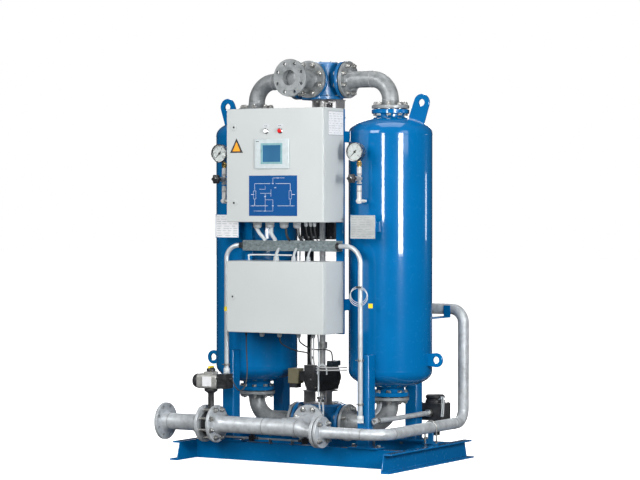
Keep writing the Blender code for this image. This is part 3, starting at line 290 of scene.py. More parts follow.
def make_materials():
    """Every material, under the short name that the pieces use."""
    made = {
        "blue": mottled(
            "machine_blue_enamel", (0.0, 0.118, 0.325), 0.0, 0.3, (5, 4, 0.96, 1.04), (40, 3, 0.20, 0.28),
            (150, 1, 0.0002, 0.30), Coat_Weight=0.9, Coat_Roughness=0.04, Specular_IOR_Level=0.08,
        ),
        "casting": mottled(
            "blue_casting", (0.001, 0.120, 0.320), 0.0, 0.35, (18, 4, 0.85, 1.10), (60, 3, 0.28, 0.45),
            (260, 4, 0.0012, 0.55), Coat_Weight=0.5, Coat_Roughness=0.10,
        ),
        "coat": mottled(
            "cabinet_powder_coat", (0.490, 0.520, 0.520), 0.0, 0.42, (3, 3, 0.975, 1.02), (30, 3, 0.36, 0.46),
            (750, 2, 0.0003, 0.35), Coat_Weight=0.15, Coat_Roughness=0.3,
        ),
        "black": mottled(
            "black_satin", (0.018, 0.019, 0.021), 0.0, 0.4, (60, 4, 0.7, 1.7), (90, 3, 0.30, 0.50),
            (600, 3, 0.0004, 0.40),
        ),
        "aluminium": mottled(
            "blasted_aluminium", (0.520, 0.520, 0.500), 0.6, 0.45, (50, 4, 0.80, 1.08), (90, 3, 0.38, 0.52),
            (500, 3, 0.0005, 0.45),
        ),
        "steel": mottled(
            "bright_steel", (0.640, 0.640, 0.650), 1.0, 0.2, (35, 3, 0.85, 1.0),
            (120, 4, 0.14, 0.28, (1, 1, 0.1)), (900, 2, 0.0002, 0.3, (1, 1, 0.05)),
        ),
        "case": mottled(
            "gauge_case_steel", (0.300, 0.305, 0.310), 0.9, 0.25, (30, 3, 0.7, 1.0), (90, 3, 0.2, 0.32),
            (500, 2, 0.0001, 0.3),
        ),
        "bracket": mottled(
            "bracket_steel", (0.400, 0.395, 0.400), 0.75, 0.36, (16, 3, 0.75, 1.08), (70, 3, 0.28, 0.46),
            (420, 2, 0.0003, 0.3),
        ),
        "tube_steel": mottled(
            "conduit_steel", (0.600, 0.640, 0.670), 0.45, 0.3, (30, 4, 0.92, 1.05), (80, 3, 0.28, 0.34),
            (300, 2, 0.0001, 0.3),
        ),
        "label_steel": mottled(
            "label_steel", (0.480, 0.500, 0.500), 0.35, 0.38, (14, 4, 0.88, 1.06, (1, 1, 3)),
            (60, 3, 0.30, 0.46, (0.1, 1, 1)), (500, 2, 0.0002, 0.3, (0.1, 1, 1)),
        ),
        "zinc": mottled(
            "zinc_bolt", (0.560, 0.560, 0.540), 0.9, 0.32, (140, 3, 0.55, 1.0), (200, 3, 0.24, 0.45),
            (700, 2, 0.0003, 0.3), (0.3, 0.6),
        ),
        "brass": mottled(
            "brass", (0.600, 0.400, 0.140), 1.0, 0.25, (120, 3, 0.7, 1.0), (180, 3, 0.2, 0.38),
            stops=(0.3, 0.65),
        ),
        "plate_blue": mottled(
            "diagram_blue", (0.001, 0.068, 0.240), 0.0, 0.5, (6, 2, 0.94, 1.05), (70, 2, 0.45, 0.58),
            Specular_IOR_Level=0.2,
        ),
        "pipe": silver_pipe("silver_pipe", (0.370, 0.390, 0.410), (0.600, 0.640, 0.670)),
        "cast_pipe": silver_pipe("cast_pipe", (0.170, 0.185, 0.190), (0.330, 0.350, 0.360)),
        "flange": cast_flange(),
        "sheet": galvanised_sheet(),
        "glass": clear_glass(),
        "screen": glowing_screen(),
    }
    for key, (name, colour, *roughness) in MOULDED.items():
        made[key] = moulded(name, colour, *roughness)
    return made


MOULDED = {
    "iron": ("dark_iron", (0.030, 0.031, 0.033), 0.6),
    "slate": ("switch_box_slate", (0.035, 0.055, 0.075)),
    "bezel": ("bezel_grey", (0.500, 0.560, 0.580)),
    "teal": ("screen_surround", (0.200, 0.380, 0.410), 0.3),
    "white": ("white_enamel", (0.800, 0.810, 0.800), 0.3),
    "red": ("red_lens", (0.620, 0.012, 0.015), 0.22),
    "dial": ("dial_white", (0.560, 0.590, 0.580), 0.6),
    # The black of the lock keys, and also the painted shade inside the outlet's bore
    "lining": ("pipe_lining", (0.016, 0.017, 0.020), 0.7),
    "white_steel": ("plated_fitting", (0.500, 0.505, 0.500), 0.3),
    "olive": ("olive_housing", (0.155, 0.142, 0.085), 0.45),
    "dull_steel": ("dull_steel", (0.300, 0.305, 0.310)),
    "amber": ("amber_label", (0.860, 0.360, 0.020)),
    "yellow": ("yellow_tag", (0.850, 0.640, 0.010), 0.5),
    "label": ("pale_label", (0.560, 0.590, 0.620)),
    "paper": ("white_label", (0.720, 0.730, 0.750), 0.5),
    "gasket": ("gasket_fibre", (0.330, 0.345, 0.350), 0.8),
    "gland": ("gland_grey", (0.420, 0.450, 0.470), 0.5),
    "rubber": ("cable_rubber", (0.030, 0.031, 0.033), 0.55),
    "tube": ("clear_tube", (0.600, 0.640, 0.660), 0.35),
    "beads": ("desiccant_beads", (0.640, 0.600, 0.520), 0.8),
    "orange": ("terminal_orange", (0.650, 0.180, 0.020), 0.45),
    "duct": ("duct_grey", (0.300, 0.330, 0.340), 0.55),
    "pale_mark": ("printed_white", (0.620, 0.690, 0.760)),
    "faint_mark": ("printed_grey", (0.300, 0.330, 0.350), 0.5),
}
MATERIALS = make_materials()


# ---- geometry ---------------------------------------------------------------------------------

SHARP_ANGLE = math.radians(35)


def ring_axes(direction):
    guide = Y_AXIS if abs(direction.y) < 0.7 else Z_AXIS
    across = guide.cross(direction).normalized()
    return across, direction.cross(across).normalized()


def circle(centre, direction, radius, sides, axes=None):
    first, second = axes or ring_axes(direction)
    turns = [2 * math.pi * i / sides for i in range(sides)]
    return [centre + radius * (math.cos(t) * first + math.sin(t) * second) for t in turns]


def route(corners, bend, steps=12):
    """Points and directions along a pipe with equal bends at its corners."""
    corners = [Vector(c) for c in corners]
    stations = [(corners[0], (corners[1] - corners[0]).normalized())]
    for before, corner, after in zip(corners, corners[1:], corners[2:]):
        inward = (corner - before).normalized()
        outward = (after - corner).normalized()
        angle = inward.angle(outward)
        normal = (outward - inward * inward.dot(outward)).normalized()
        centre = corner - inward * bend * math.tan(angle / 2) + normal * bend
        for i in range(steps + 1):
            t = angle * i / steps
            point = centre + bend * (math.sin(t) * inward - math.cos(t) * normal)
            stations.append((point, math.cos(t) * inward + math.sin(t) * normal))
    stations.append((corners[-1], (corners[-1] - corners[-2]).normalized()))
    return stations


def smooth_route(points, per_span=6):
    """Reads a Catmull-Rom curve through the points."""
    pts = [Vector(p) for p in points]
    pts = [2 * pts[0] - pts[1]] + pts + [2 * pts[-1] - pts[-2]]
    out = []
    for a, b, c, d in zip(pts, pts[1:], pts[2:], pts[3:]):
        for i in range(per_span):
            t = i / per_span
            linear = (c - a) * t
            square = (2 * a - 5 * b + 4 * c - d) * t * t
            cubic = (3 * b - a - 3 * c + d) * t ** 3
            out.append(0.5 * (2 * b + linear + square + cubic))
    return out + [pts[-2]]


def carried_axes(directions):
    """Ring axes for each direction, carried along without twist."""
    across = ring_axes(directions[0])[0]
    out = []
    for direction in directions:
        across = (across - direction * across.dot(direction)).normalized()
        out.append((across.copy(), direction.cross(across).normalized()))
    return out


def flange_profile(face, edge, pipe, neck):
    """A weld-neck flange, as (distance from its face, radius) pairs."""
    return [
        (0.0, face - 0.0005), (0.0005, face), (RAISED, face), (RAISED, edge - FLANGE_EDGE),
        (RAISED + FLANGE_EDGE, edge), (PLATE - FLANGE_EDGE, edge), (PLATE, edge - FLANGE_EDGE),
        (PLATE, pipe + 0.010), (PLATE + 0.002, pipe + 0.008), (PLATE + neck * 0.5, pipe + 0.004),
        (PLATE + neck, pipe),
    ]


WELD_NECK80 = flange_profile(0.069, FLANGE80, PIPE80, 0.026)
WELD_NECK50 = flange_profile(0.051, FLANGE50, PIPE50, 0.020)

# A DN50 neck on a DN80 flange: only the rings of the plate are widened
WIDE_NECK50 = [(0.0, 0.0685)]
WIDE_NECK50 += [(s, r - FLANGE50 + FLANGE80 if s < PLATE + 0.001 else r) for s, r in WELD_NECK50[1:]]


class Shape:
    """Collects closed bodies in the skid's frame and turns them into one piece."""

    def __init__(self):
        self.verts = []
        self.faces = []

    def skin(self, loops, wrap=False):
        """Joins rings of equal length, capped at both ends unless the last joins the first."""
        start = len(self.verts)
        count = len(loops[0])
        total = len(loops)
        for ring in loops:
            self.verts.extend(ring)
        for i in range(total if wrap else total - 1):
            a = start + i * count
            b = start + (i + 1) % total * count
            for j in range(count):
                k = (j + 1) % count
                self.faces.append((a + j, a + k, b + k, b + j))
        if not wrap:
            self.faces.append(tuple(range(start + count - 1, start - 1, -1)))
            self.faces.append(tuple(range(start + (total - 1) * count, start + total * count)))
        return self

    def turned(self, profile, centre=(0, 0, 0), axis=Z_AXIS, sides=48, hollow=False):
        """Turns (radius, distance along the axis) pairs about an axis through centre."""
        axis = Vector(axis)
        axes = ring_axes(axis)
        loops = [circle(Vector(centre) + axis * d, axis, r, sides, axes) for r, d in profile]
        return self.skin(loops, hollow)

    def rod(self, start, end, radius, sides=24, chamfer=0.0):
        start = Vector(start)
        axis = (Vector(end) - start).normalized()
        length = (Vector(end) - start).length
        c = min(chamfer, radius * 0.5, length * 0.4)
        if c:
            profile = [(radius - c, 0), (radius, c), (radius, length - c), (radius - c, length)]
        else:
            profile = [(radius, 0), (radius, length)]
        return self.turned(profile, start, axis, sides)

    def tube(self, points, radius, sides=16):
        """A round tube along points that are already close together."""
        points = [Vector(p) for p in points]
        ends = [points[0]] + points + [points[-1]]
        directions = [(b - a).normalized() for a, b in zip(ends, ends[2:])]
        axes = carried_axes(directions)
        loops = [circle(p, d, radius, sides, x) for p, d, x in zip(points, directions, axes)]
        return self.skin(loops)

    def pipe(self, corners, outer, bore=0.0, bend=0.1, sides=48, first=None, last=None, steps=14):
        """A pipe with bends, and a flange profile at either end."""
        stations = route(corners, bend, steps)
        axes = carried_axes([d for _, d in stations])
        outside = [(p, d, outer, x) for (p, d), x in zip(stations, axes)]
        if first:
            p, d, _, x = outside[0]
            outside = [(p + d * s, d, r, x) for s, r in first] + outside[1:]
        if last:
            p, d, _, x = outside[-1]
            outside = outside[:-1] + [(p - d * s, d, r, x) for s, r in reversed(last)]
        loops = [circle(p, d, r, sides, x) for p, d, r, x in outside]
        if bore:
            inside = [(p, d, bore, x) for (p, d), x in zip(stations, axes)]
            loops += [circle(p, d, r, sides, x) for p, d, r, x in reversed(inside)]
        return self.skin(loops, bool(bore))

    def block(self, lowest, highest):
        (x0, y0, z0), (x1, y1, z1) = lowest, highest
        bottom = [Vector((x0, y0, z0)), Vector((x1, y0, z0)), Vector((x1, y1, z0)), Vector((x0, y1, z0))]
        top = [v + Vector((0, 0, z1 - z0)) for v in bottom]
        return self.skin([bottom, top])

    def box(self, centre, size):
        centre = Vector(centre)
        half = Vector(size) / 2
        return self.block(centre - half, centre + half)

    def prism(self, outline, shift):
        shift = Vector(shift)
        outline = [Vector(p) for p in outline]
        return self.skin([outline, [p + shift for p in outline]])

    def hexagon(self, centre, axis, across, height):
        """A hex head or nut with its chamfered top, standing on centre along axis."""
        axis = Vector(axis)
        corner = across / 2 / math.cos(math.radians(30))
        profile = [(corner, 0), (corner, height * 0.86), (across * 0.46, height)]
        return self.turned(profile, centre, axis, 6)

    def bolt(self, head, axis, grip, size=BOLT, tail=0.008):
        """A bolt with its head at head, its nut grip away along axis, and washers under both."""
        axis = Vector(axis)
        head = Vector(head)
        self.rod(head - axis * 0.002, head, size * 1.25, 20)
        self.hexagon(head - axis * 0.002, -axis, size * 2, size * 0.85)
        nut = head + axis * grip
        self.rod(nut, nut + axis * 0.002, size * 1.25, 20)
        self.hexagon(nut + axis * 0.002, axis, size * 2, size)
        self.rod(nut, nut + axis * (0.002 + size + tail), size * 0.66, 14, 0.001)
        self.rod(head, nut, size * 0.66, 14)
        return self

    def bolt_ring(self, centre, axis, circle_radius, count, grip, size=BOLT, tail=0.008):
        """Bolts through a pair of flanges whose joint is at centre."""
        axis = Vector(axis)
        first, second = ring_axes(axis)
        for i in range(count):
            t = 2 * math.pi * (i + 0.5) / count
            place = Vector(centre) + circle_radius * (math.cos(t) * first + math.sin(t) * second)
            self.bolt(place - axis * grip / 2, axis, grip, size, tail)
        return self

    def finish(self, name, material, body="frame", slot=None, bevel=0.0, segments=2, replaces=()):
        mesh = bpy.data.meshes.new(name)
        mesh.from_pydata([tuple(v + ORIGIN) for v in self.verts], [], self.faces)
        return settle(name, mesh, material, body, bevel, segments, replaces)


def settle(name, mesh, material, body, bevel, segments, replaces):
    """Gives a mesh its material, shading and bevel, and hangs it on its body."""
    bm = bmesh.new()
    bm.from_mesh(mesh)
    bmesh.ops.recalc_face_normals(bm, faces=bm.faces)
    bm.to_mesh(mesh)
    bm.free()
    mesh.shade_smooth()
    mesh.set_sharp_from_angle(angle=SHARP_ANGLE)
    mesh.materials.clear()
    mesh.materials.append(MATERIALS[material])
    obj = bpy.data.objects.new(name, mesh)
    bpy.context.collection.objects.link(obj)
    if bevel:
        soften(obj, bevel, segments, 40)
    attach(obj, body)
    if replaces:
        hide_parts(*replaces)
    return obj


def soften(obj, width, segments=2, angle=50):
    """Rounds the edges that turn by more than angle degrees."""
    modifier = obj.modifiers.new("edges", "BEVEL")
    modifier.width = width
    modifier.segments = segments
    modifier.limit_method = "ANGLE"
    modifier.angle_limit = math.radians(angle)


def node_body(node):
    for body, nodes in frame["record"]["behaviour"]["bodies"].items():
        if node in nodes:
            return body
    raise KeyError(node)


def refine(node, material, bevel, segments=2):
    """A CAD node with its flat faces whole again and its edges rounded."""
    source = frame["nodes"][node]
    mesh = source.data.copy()
    bm = bmesh.new()
    bm.from_mesh(mesh)
    bmesh.ops.remove_doubles(bm, verts=bm.verts, dist=1e-5)
    bmesh.ops.dissolve_limit(bm, angle_limit=math.radians(1), verts=bm.verts, edges=bm.edges)
    bm.to_mesh(mesh)
    bm.free()
    return settle(node + "_finished", mesh, material, node_body(node), bevel, segments, (node,))


def carve(obj, cutters):
    """Cuts a Shape out of a piece for good, so that no modifier is left for it."""
    mesh = bpy.data.meshes.new("cutter")
    mesh.from_pydata([tuple(v + ORIGIN) for v in cutters.verts], [], cutters.faces)
    tool = bpy.data.objects.new("cutter", mesh)
    bpy.context.collection.objects.link(tool)
    modifier = obj.modifiers.new("cut", "BOOLEAN")
    modifier.object = tool
    modifier.solver = "EXACT"
    modifier.use_self = True
    graph = bpy.context.evaluated_depsgraph_get()
    cut = bpy.data.meshes.new_from_object(obj.evaluated_get(graph), depsgraph=graph)
    obj.modifiers.clear()
    obj.data = cut
    cut.shade_smooth()
    cut.set_sharp_from_angle(angle=SHARP_ANGLE)
    bpy.data.objects.remove(tool, do_unlink=True)
    return obj


# ---- the actuator's cable ---------------------------------------------------------------------

CABLE_DIAMETER = 0.007
CABLE_POINTS = (
    (-0.2720, -0.3420, 0.7012),
    (-0.2720, -0.3420, 0.6700),
    (-0.2700, -0.3430, 0.6100),
    (-0.2640, -0.3480, 0.5500),
    (-0.2570, -0.3560, 0.4950),
    (-0.2540, -0.3680, 0.4400),
    (-0.2580, -0.3810, 0.4050),
    (-0.2690, -0.3930, 0.3880),
    (-0.2830, -0.4040, 0.3900),
    (-0.2940, -0.4120, 0.4060),
    (-0.3020, -0.4170, 0.4240),
    (-0.3100, -0.4195, 0.4410),
    (-0.3200, -0.4200, 0.4480),
    (-0.3306, -0.4200, 0.4480),
)


def make_cable():
    """The cable from the power box to the inlet valve's actuator; cable_glands draws the gland at either end.
    """
    places = smooth_route(CABLE_POINTS, 2)
    length = sum((b - a).length for a, b in zip(places, places[1:]))
    curve = bpy.data.curves.new("actuator_cable_round", "CURVE")
    curve.dimensions = "3D"
    curve.bevel_depth = CABLE_DIAMETER / 2
    curve.bevel_resolution = 4
    curve.use_fill_caps = True
    spline = curve.splines.new("POLY")
    spline.points.add(len(places) - 1)
    for point, place in zip(spline.points, places):
        point.co = (*(place + ORIGIN), 1.0)
    curve.materials.append(MATERIALS["rubber"])
    cable = bpy.data.objects.new("actuator_cable_round", curve)
    bpy.context.collection.objects.link(cable)
    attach(cable, "frame")
    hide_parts("actuator_cable")


def cable_glands():
    shape = Shape()
    for point, outward in ((CABLE_POINTS[0], -Z_AXIS), (CABLE_POINTS[-1], X_AXIS)):
        place = Vector(point)
        shape.hexagon(place, outward, 0.016, 0.006)
        shape.turned([(0.0065, 0), (0.0062, 0.012), (0.0040, 0.019)], place + outward * 0.006, outward, 24)
    shape.finish("cable_glands", "black", bevel=0.0004)


# ---- skid -------------------------------------------------------------------------------------

CHANNEL_HEIGHT = span("skid_beam_left")[1].z
CROSS_Y = span("cross_beam_rear")[1].y
SKID_X = span("skid_beam_right")[1].x
BASE_PLATE_TOP = 0.1103
LEG_Y = 0.2583


def weld_bead(shape, start, end, radius=0.0035, seed=1):
    """A fillet bead with its ripples, laid in a corner between two points."""
    rng = random.Random(seed)
    start = Vector(start)
    axis = (Vector(end) - start).normalized()
    length = (Vector(end) - start).length
    count = max(6, int(length / 0.006))
    profile = []
    for i in range(count + 1):
        wave = radius * (1.0 + (0.14 if i % 2 else -0.10) + rng.uniform(-0.06, 0.06))
        profile.append((wave, length * i / count))
    shape.turned(profile, start, axis, 8)


def make_skid():
    """The two side channels and two cross channels, with their corner welds."""
    for node in ("skid_beam_left", "skid_beam_right", "cross_beam_front", "cross_beam_rear"):
        refine(node, "blue", 0.0016, 3)
    beads = Shape()
    web = SKID_X - 0.050
    for side in (-1, 1):
        for face in (-1, 1):
            x, y = side * (web - 0.001), face * (CROSS_Y - 0.002)
            weld_bead(beads, (x, y, 0.010), (x, y, CHANNEL_HEIGHT - 0.010), 0.004, 7)
            across = Vector((x, face * (CROSS_Y - 0.045), CHANNEL_HEIGHT - 0.001))
            weld_bead(beads, across, across + Vector((0, face * 0.042, 0)), 0.003, 8)
    beads.finish("skid_welds", "blue")


def make_legs():
    """The four legs, their anchor bolts and their welds to base plate and tower."""
    for label in ("left", "right"):
        for face in ("front", "rear"):
            refine(f"leg_{label}_{face}", "blue", 0.004, 3)
    bolts = Shape()
    beads = Shape()
    for side in (-1, 1):
        for face in (-1, 1):
            x = side * TOWER_X
            y = face * LEG_Y
            for shift in (-0.075, 0.075):
                bolts.bolt((x + shift, y, BASE_PLATE_TOP + 0.002), -Z_AXIS, 0.0205, 0.010, 0.004)
            half = 0.0365
            rim = BASE_PLATE_TOP + 0.001
            corners = [(x + i * half, y + j * half, rim) for j in (-1, 1) for i in (-1, 1)]
            for seed, (first, last) in enumerate(((0, 1), (2, 3), (0, 2), (1, 3)), 3):
                weld_bead(beads, corners[first], corners[last], 0.004, seed)
            edge = face * (TOWER_RADIUS + 0.0025)
            for seed, shift in ((9, -0.030), (10, 0.030)):
                weld_bead(beads, (x + shift, edge, 0.500), (x + shift, edge, 0.590), 0.003, seed)
    bolts.finish("leg_bolts", "zinc", bevel=0.0004)
    beads.finish("leg_welds", "blue")


# ---- towers -----------------------------------------------------------------------------------

SEAM_LOW = 0.494
SEAM_HIGH = 1.760

# Plain rings beside each seam, which keep its bulge from bending the shading of the long wall
SEAM_GUARDS = (0.010, 0.013, 0.030)
SEAM_BULGE = 0.0012
HEAD_HEIGHT = 0.093
WALL = 0.008
NOZZLE_RADIUS = 0.075
NOZZLE_FLANGE = 0.022
LUG_HOLE = 0.019
LUG_X = 0.612
LUG_EDGE = 0.0015
LUG_HALF = 0.006
RING_LUG_Z = {-1: 0.530, 1: 0.560}


def head_curve(radius, height, steps):
    """Half of an elliptical head, from its rim towards its crown, as (radius, height) pairs."""
    turns = [math.pi / 2 * i / steps for i in range(steps)]
    return [(radius * math.cos(t), height * math.sin(t)) for t in turns]


def tower_profile():
    """The outside from the lower nozzle's face to the upper one's, then back along the inside."""
    outer = [p for p in head_curve(TOWER_RADIUS, HEAD_HEIGHT, 28) if p[0] > NOZZLE_RADIUS + 0.006]
    inner = [p for p in head_curve(TOWER_RADIUS - WALL, HEAD_HEIGHT - WALL, 14) if p[0] > BORE80 + 0.004]
    crown = SEAM_HIGH + HEAD_HEIGHT * 0.92
    sole = SEAM_LOW - HEAD_HEIGHT * 0.92
    top = NOZZLE_TOP
    foot = NOZZLE_BOTTOM
    flange = [
        (FLANGE80 - 0.002, 0.0), (FLANGE80, 0.002), (FLANGE80, NOZZLE_FLANGE - 0.002),
        (FLANGE80 - 0.002, NOZZLE_FLANGE), (NOZZLE_RADIUS + 0.006, NOZZLE_FLANGE),
        (NOZZLE_RADIUS, NOZZLE_FLANGE + 0.005),
    ]
    outside = [(r, foot + h) for r, h in flange] + [
        (NOZZLE_RADIUS, sole - 0.004), (NOZZLE_RADIUS + 0.006, sole + 0.003),
    ]
    outside += [(r, SEAM_LOW - h) for r, h in outer[::-1]]
    outside.append((TOWER_RADIUS + SEAM_BULGE, SEAM_LOW + 0.004))
    outside += [(TOWER_RADIUS, SEAM_LOW + h) for h in SEAM_GUARDS]
    outside += [(TOWER_RADIUS, SEAM_HIGH - h) for h in SEAM_GUARDS[::-1]]
    outside.append((TOWER_RADIUS + SEAM_BULGE, SEAM_HIGH - 0.004))
    outside += [(r, SEAM_HIGH + h) for r, h in outer]
    outside += [(NOZZLE_RADIUS + 0.006, crown - 0.003), (NOZZLE_RADIUS, crown + 0.004)]
    outside += [(r, top - h) for r, h in flange[::-1]]
    inside = [(BORE80, top), (BORE80, crown)] + [(r, SEAM_HIGH + h) for r, h in inner[::-1]]
    inside += [(r, SEAM_LOW - h) for r, h in inner] + [(BORE80, sole), (BORE80, foot)]
    return outside + inside


def eyelet(shape, centre, feet, radius, points=64):
    """A flat lug round a hole in a plane of constant Y: a rounded head and two feet."""
    centre = Vector(centre)
    feet = [Vector(p) for p in feet]
    up = (centre - (feet[0] + feet[1]) / 2).normalized()
    side = Vector((up.z, 0, -up.x))
    turns = [math.pi * i / 24 for i in range(25)]
    edge = [feet[1]] + [centre + radius * (math.cos(t) * side + math.sin(t) * up) for t in turns] + [feet[0]]
    outer = []
    inner = []
    for i in range(points):
        t = 2 * math.pi * (i + 0.5) / points
        ray = Vector((math.cos(t), 0, math.sin(t)))
        outer.append(centre + ray * reach(centre, ray, edge))
        inner.append(centre + ray * LUG_HOLE)
    shift = Vector((0, LUG_HALF, 0))
    edge_round = Vector((0, LUG_EDGE, 0))
    outer_in = [p - (p - centre).normalized() * LUG_EDGE for p in outer]
    loops = [
        [p - shift for p in inner], [p - shift for p in outer_in], [p - shift + edge_round for p in outer],
        [p + shift - edge_round for p in outer], [p + shift for p in outer_in], [p + shift for p in inner],
    ]
    shape.skin(loops, True)


def reach(centre, ray, edge):
    """How far a ray from centre travels, in a plane of constant Y, before it meets the closed edge."""
    best = None
    for a, b in zip(edge, edge[1:] + edge[:1]):
        side = b - a
        cross = ray.x * side.z - ray.z * side.x
        if abs(cross) < 1e-12:
            continue
        gap = a - centre
        along = (gap.x * side.z - gap.z * side.x) / cross
        part = (gap.x * ray.z - gap.z * ray.x) / cross
        if along > 0 and -1e-6 <= part <= 1 + 1e-6 and (best is None or along < best):
            best = along
    return best


def tower_lugs(shape, side):
    """The lifting lug on a tower's head and the ring lug low on its outer side."""
    top = Vector((side * LUG_X, 0, 1.920))
    feet = [Vector((side * 0.520, 0, 1.800)), Vector((side * LUG_X, 0, 1.765))]
    eyelet(shape, top, feet if side > 0 else feet[::-1], 0.046)
    height = RING_LUG_Z[side]
    ring = Vector((side * (0.707 if side < 0 else 0.700), 0, height))
    root = side * (TOWER_X + TOWER_RADIUS - 0.006)
    feet = [Vector((root, 0, height + 0.030)), Vector((root, 0, height - 0.030))]
    eyelet(shape, ring, feet if side > 0 else feet[::-1], 0.038)


def make_towers():
    """Both pressure vessels, their lug welds and their desiccant beds."""
    profile = tower_profile()
    for label, side in (("left", -1), ("right", 1)):
        shape = Shape()
        shape.turned(profile, (side * TOWER_X, 0, 0), Z_AXIS, 128, True)
        tower_lugs(shape, side)
        shape.finish(f"tower_{label}_shell", "blue", replaces=(f"tower_{label}",))
        beads = Shape()
        root = side * (TOWER_X + TOWER_RADIUS)
        height = RING_LUG_Z[side]
        for shift in (-0.0065, 0.0065):
            weld_bead(beads, (root, shift, height - 0.032), (root, shift, height + 0.032), 0.003, 21)
            weld_bead(beads, (side * 0.522, shift, 1.826), (side * 0.606, shift, 1.797), 0.003, 22)
        beads.finish(f"tower_{label}_lug_welds", "blue")
        refine(f"desiccant_{label}", "beads", 0.004)


# ---- process piping ---------------------------------------------------------------------------


def gasket(shape, centre, axis, radius=0.069, thick=0.002):
    """A flat gasket in a flange joint."""
    shape.turned([(radius, -thick / 2), (radius, thick / 2)], centre, axis, 48)


def make_elbows():
    """The four flanged elbows between the towers and the changeover valves."""
    reach_x = PORT_REACH + 0.002
    for label, side in (("left", -1), ("right", 1)):
        ends = (("top", NOZZLE_TOP + 0.002, TOP_LEVEL), ("bottom", NOZZLE_BOTTOM - 0.002, BOTTOM_LEVEL))
        for level, nozzle_z, port_z in ends:
            x = side * TOWER_X
            corners = [(x, 0, nozzle_z), (x, 0, port_z), (side * reach_x, 0, port_z)]
            Shape().pipe(corners, PIPE80, BORE80, BEND80, 64, WELD_NECK80, WELD_NECK80, 24).finish(
                f"{level}_elbow_{label}_pipe", "cast_pipe", replaces=(f"{level}_elbow_{label}",),
            )
            beads = Shape()
            turn = Vector(corners[1])
            for end, axis in ((corners[0], Z_AXIS), (corners[2], X_AXIS)):
                ring_bead(beads, turn + (Vector(end) - turn).normalized() * BEND80, axis, PIPE80)
            beads.finish(f"{level}_elbow_{label}_welds", "flange")


def ring_bead(shape, centre, axis, radius, height=0.0016):
    """A butt weld right round a pipe."""
    foot, shoulder = radius - 0.002, radius + height * 0.6
    profile = [(foot, -0.005), (shoulder, -0.003), (radius + height, 0), (shoulder, 0.003), (foot, 0.005)]
    shape.turned(profile, centre, axis, 64)


def flange_bolting():
    """Bolts and gaskets of all the DN80 and DN50 joints."""
    bolts = Shape()
    seals = Shape()
    for side in (-1, 1):
        for level in (NOZZLE_TOP + 0.001, NOZZLE_BOTTOM - 0.001):
            sign = 1 if level > 1 else -1
            centre = Vector((side * TOWER_X, 0, level))
            bolts.bolt_ring(centre - Z_AXIS * sign * 0.001, Z_AXIS * sign, CIRCLE80, 8, 0.044, tail=0.005)
            gasket(seals, centre, Z_AXIS)
        for level in (TOP_LEVEL, BOTTOM_LEVEL):
            centre = Vector((side * (PORT_REACH + 0.001), 0, level))
            bolts.bolt_ring(centre, X_AXIS * side, CIRCLE80, 8, 0.042)
            gasket(seals, centre, X_AXIS)
    for side, level in ((-1, TOP_LEVEL), (1, TOP_LEVEL), (-1, BOTTOM_LEVEL), (1, BOTTOM_LEVEL)):
        centre = Vector((0, side * (PORT_FRONT + 0.001), level))
        bolts.bolt_ring(centre, Y_AXIS * side, CIRCLE80, 8, 0.042)
        gasket(seals, centre, Y_AXIS)
    joint = Vector((DN50_JOINT - 0.0005, INLET_Y, DN50_LEVEL))
    bolts.bolt_ring(joint, X_AXIS, CIRCLE50, 4, 0.040)
    gasket(seals, joint, X_AXIS, 0.051, 0.001)
    seals.finish("joint_gaskets", "gasket")
    bolts.finish("joint_bolts", "zinc", bevel=0.0004)


def bolt_hole_tools(centre, axis):
    """Cutters for the eight open bolt holes of a DN80 flange."""
    first, second = ring_axes(Vector(axis))
    shape = Shape()
    for i in range(8):
        t = 2 * math.pi * (i + 0.5) / 8
        place = Vector(centre) + CIRCLE80 * (math.cos(t) * first + math.sin(t) * second)
        shape.rod(place - Vector(axis) * 0.03, place + Vector(axis) * 0.04, 0.009, 24)
    return shape


def make_spools():
    """The outlet and inlet spools with their open flanges, and a black sleeve in the outlet's bore that is
    painted shade.
    """
    outlet = [(0, OUTLET_FACE, TOP_LEVEL), (0, -(PORT_FRONT + 0.002), TOP_LEVEL)]
    shape = Shape()
    shape.pipe(outlet, PIPE80, BORE80, 0.1, 64, WELD_NECK80, WELD_NECK80)
    piece = shape.finish("outlet_spool_pipe", "cast_pipe", replaces=("outlet_spool",))
    carve(piece, bolt_hole_tools(outlet[0], Y_AXIS))
    # A thin black sleeve inside the outlet's bore: painted shade that keeps the bore dark where light would
    # reach it
    lining = Shape()
    inner = []
    for radius, y in ((0.0001, -0.290), (0.0012, -0.290), (0.0012, -0.135), (0.0001, -0.135)):
        inner.append((BORE80 - radius, y))
    lining.turned(inner, (0, 0, TOP_LEVEL), Y_AXIS, 64, True)
    lining.finish("outlet_bore_painted_shade", "lining")
    inlet = [(INLET_FACE, INLET_Y, BOTTOM_LEVEL), (BUTTERFLY_X - 0.025, INLET_Y, BOTTOM_LEVEL)]
    shape = Shape()
    shape.pipe(inlet, PIPE80, BORE80, 0.1, 64, WELD_NECK80, WELD_NECK80)
    piece = shape.finish("inlet_spool_pipe", "pipe", replaces=("inlet_spool",))
    carve(piece, bolt_hole_tools(inlet[0], X_AXIS))
    seams = Shape()
    ring_bead(seams, Vector((0, OUTLET_FACE + 0.047, TOP_LEVEL)), Y_AXIS, PIPE80)
    ring_bead(seams, Vector((INLET_FACE + 0.047, INLET_Y, BOTTOM_LEVEL)), X_AXIS, PIPE80)
    seams.finish("spool_welds", "flange")


REDUCER_START = 0.105
REDUCER_END = 0.190


def reducer(shape):
    """An eccentric reducer, flat along its underside, down to the DN50 end."""
    loops = []
    axes = (-Z_AXIS, Y_AXIS)
    steps = 12
    for i in range(steps + 1):
        t = i / steps
        ease = t * t * (3 - 2 * t)
        radius = PIPE80 + (PIPE50 - PIPE80) * ease
        level = BOTTOM_LEVEL + (DN50_LEVEL - BOTTOM_LEVEL) * ease
        x = REDUCER_START + (REDUCER_END - REDUCER_START) * t
        loops.append(circle(Vector((x, INLET_Y, level)), X_AXIS, radius, 64, axes))
    shape.skin(loops)


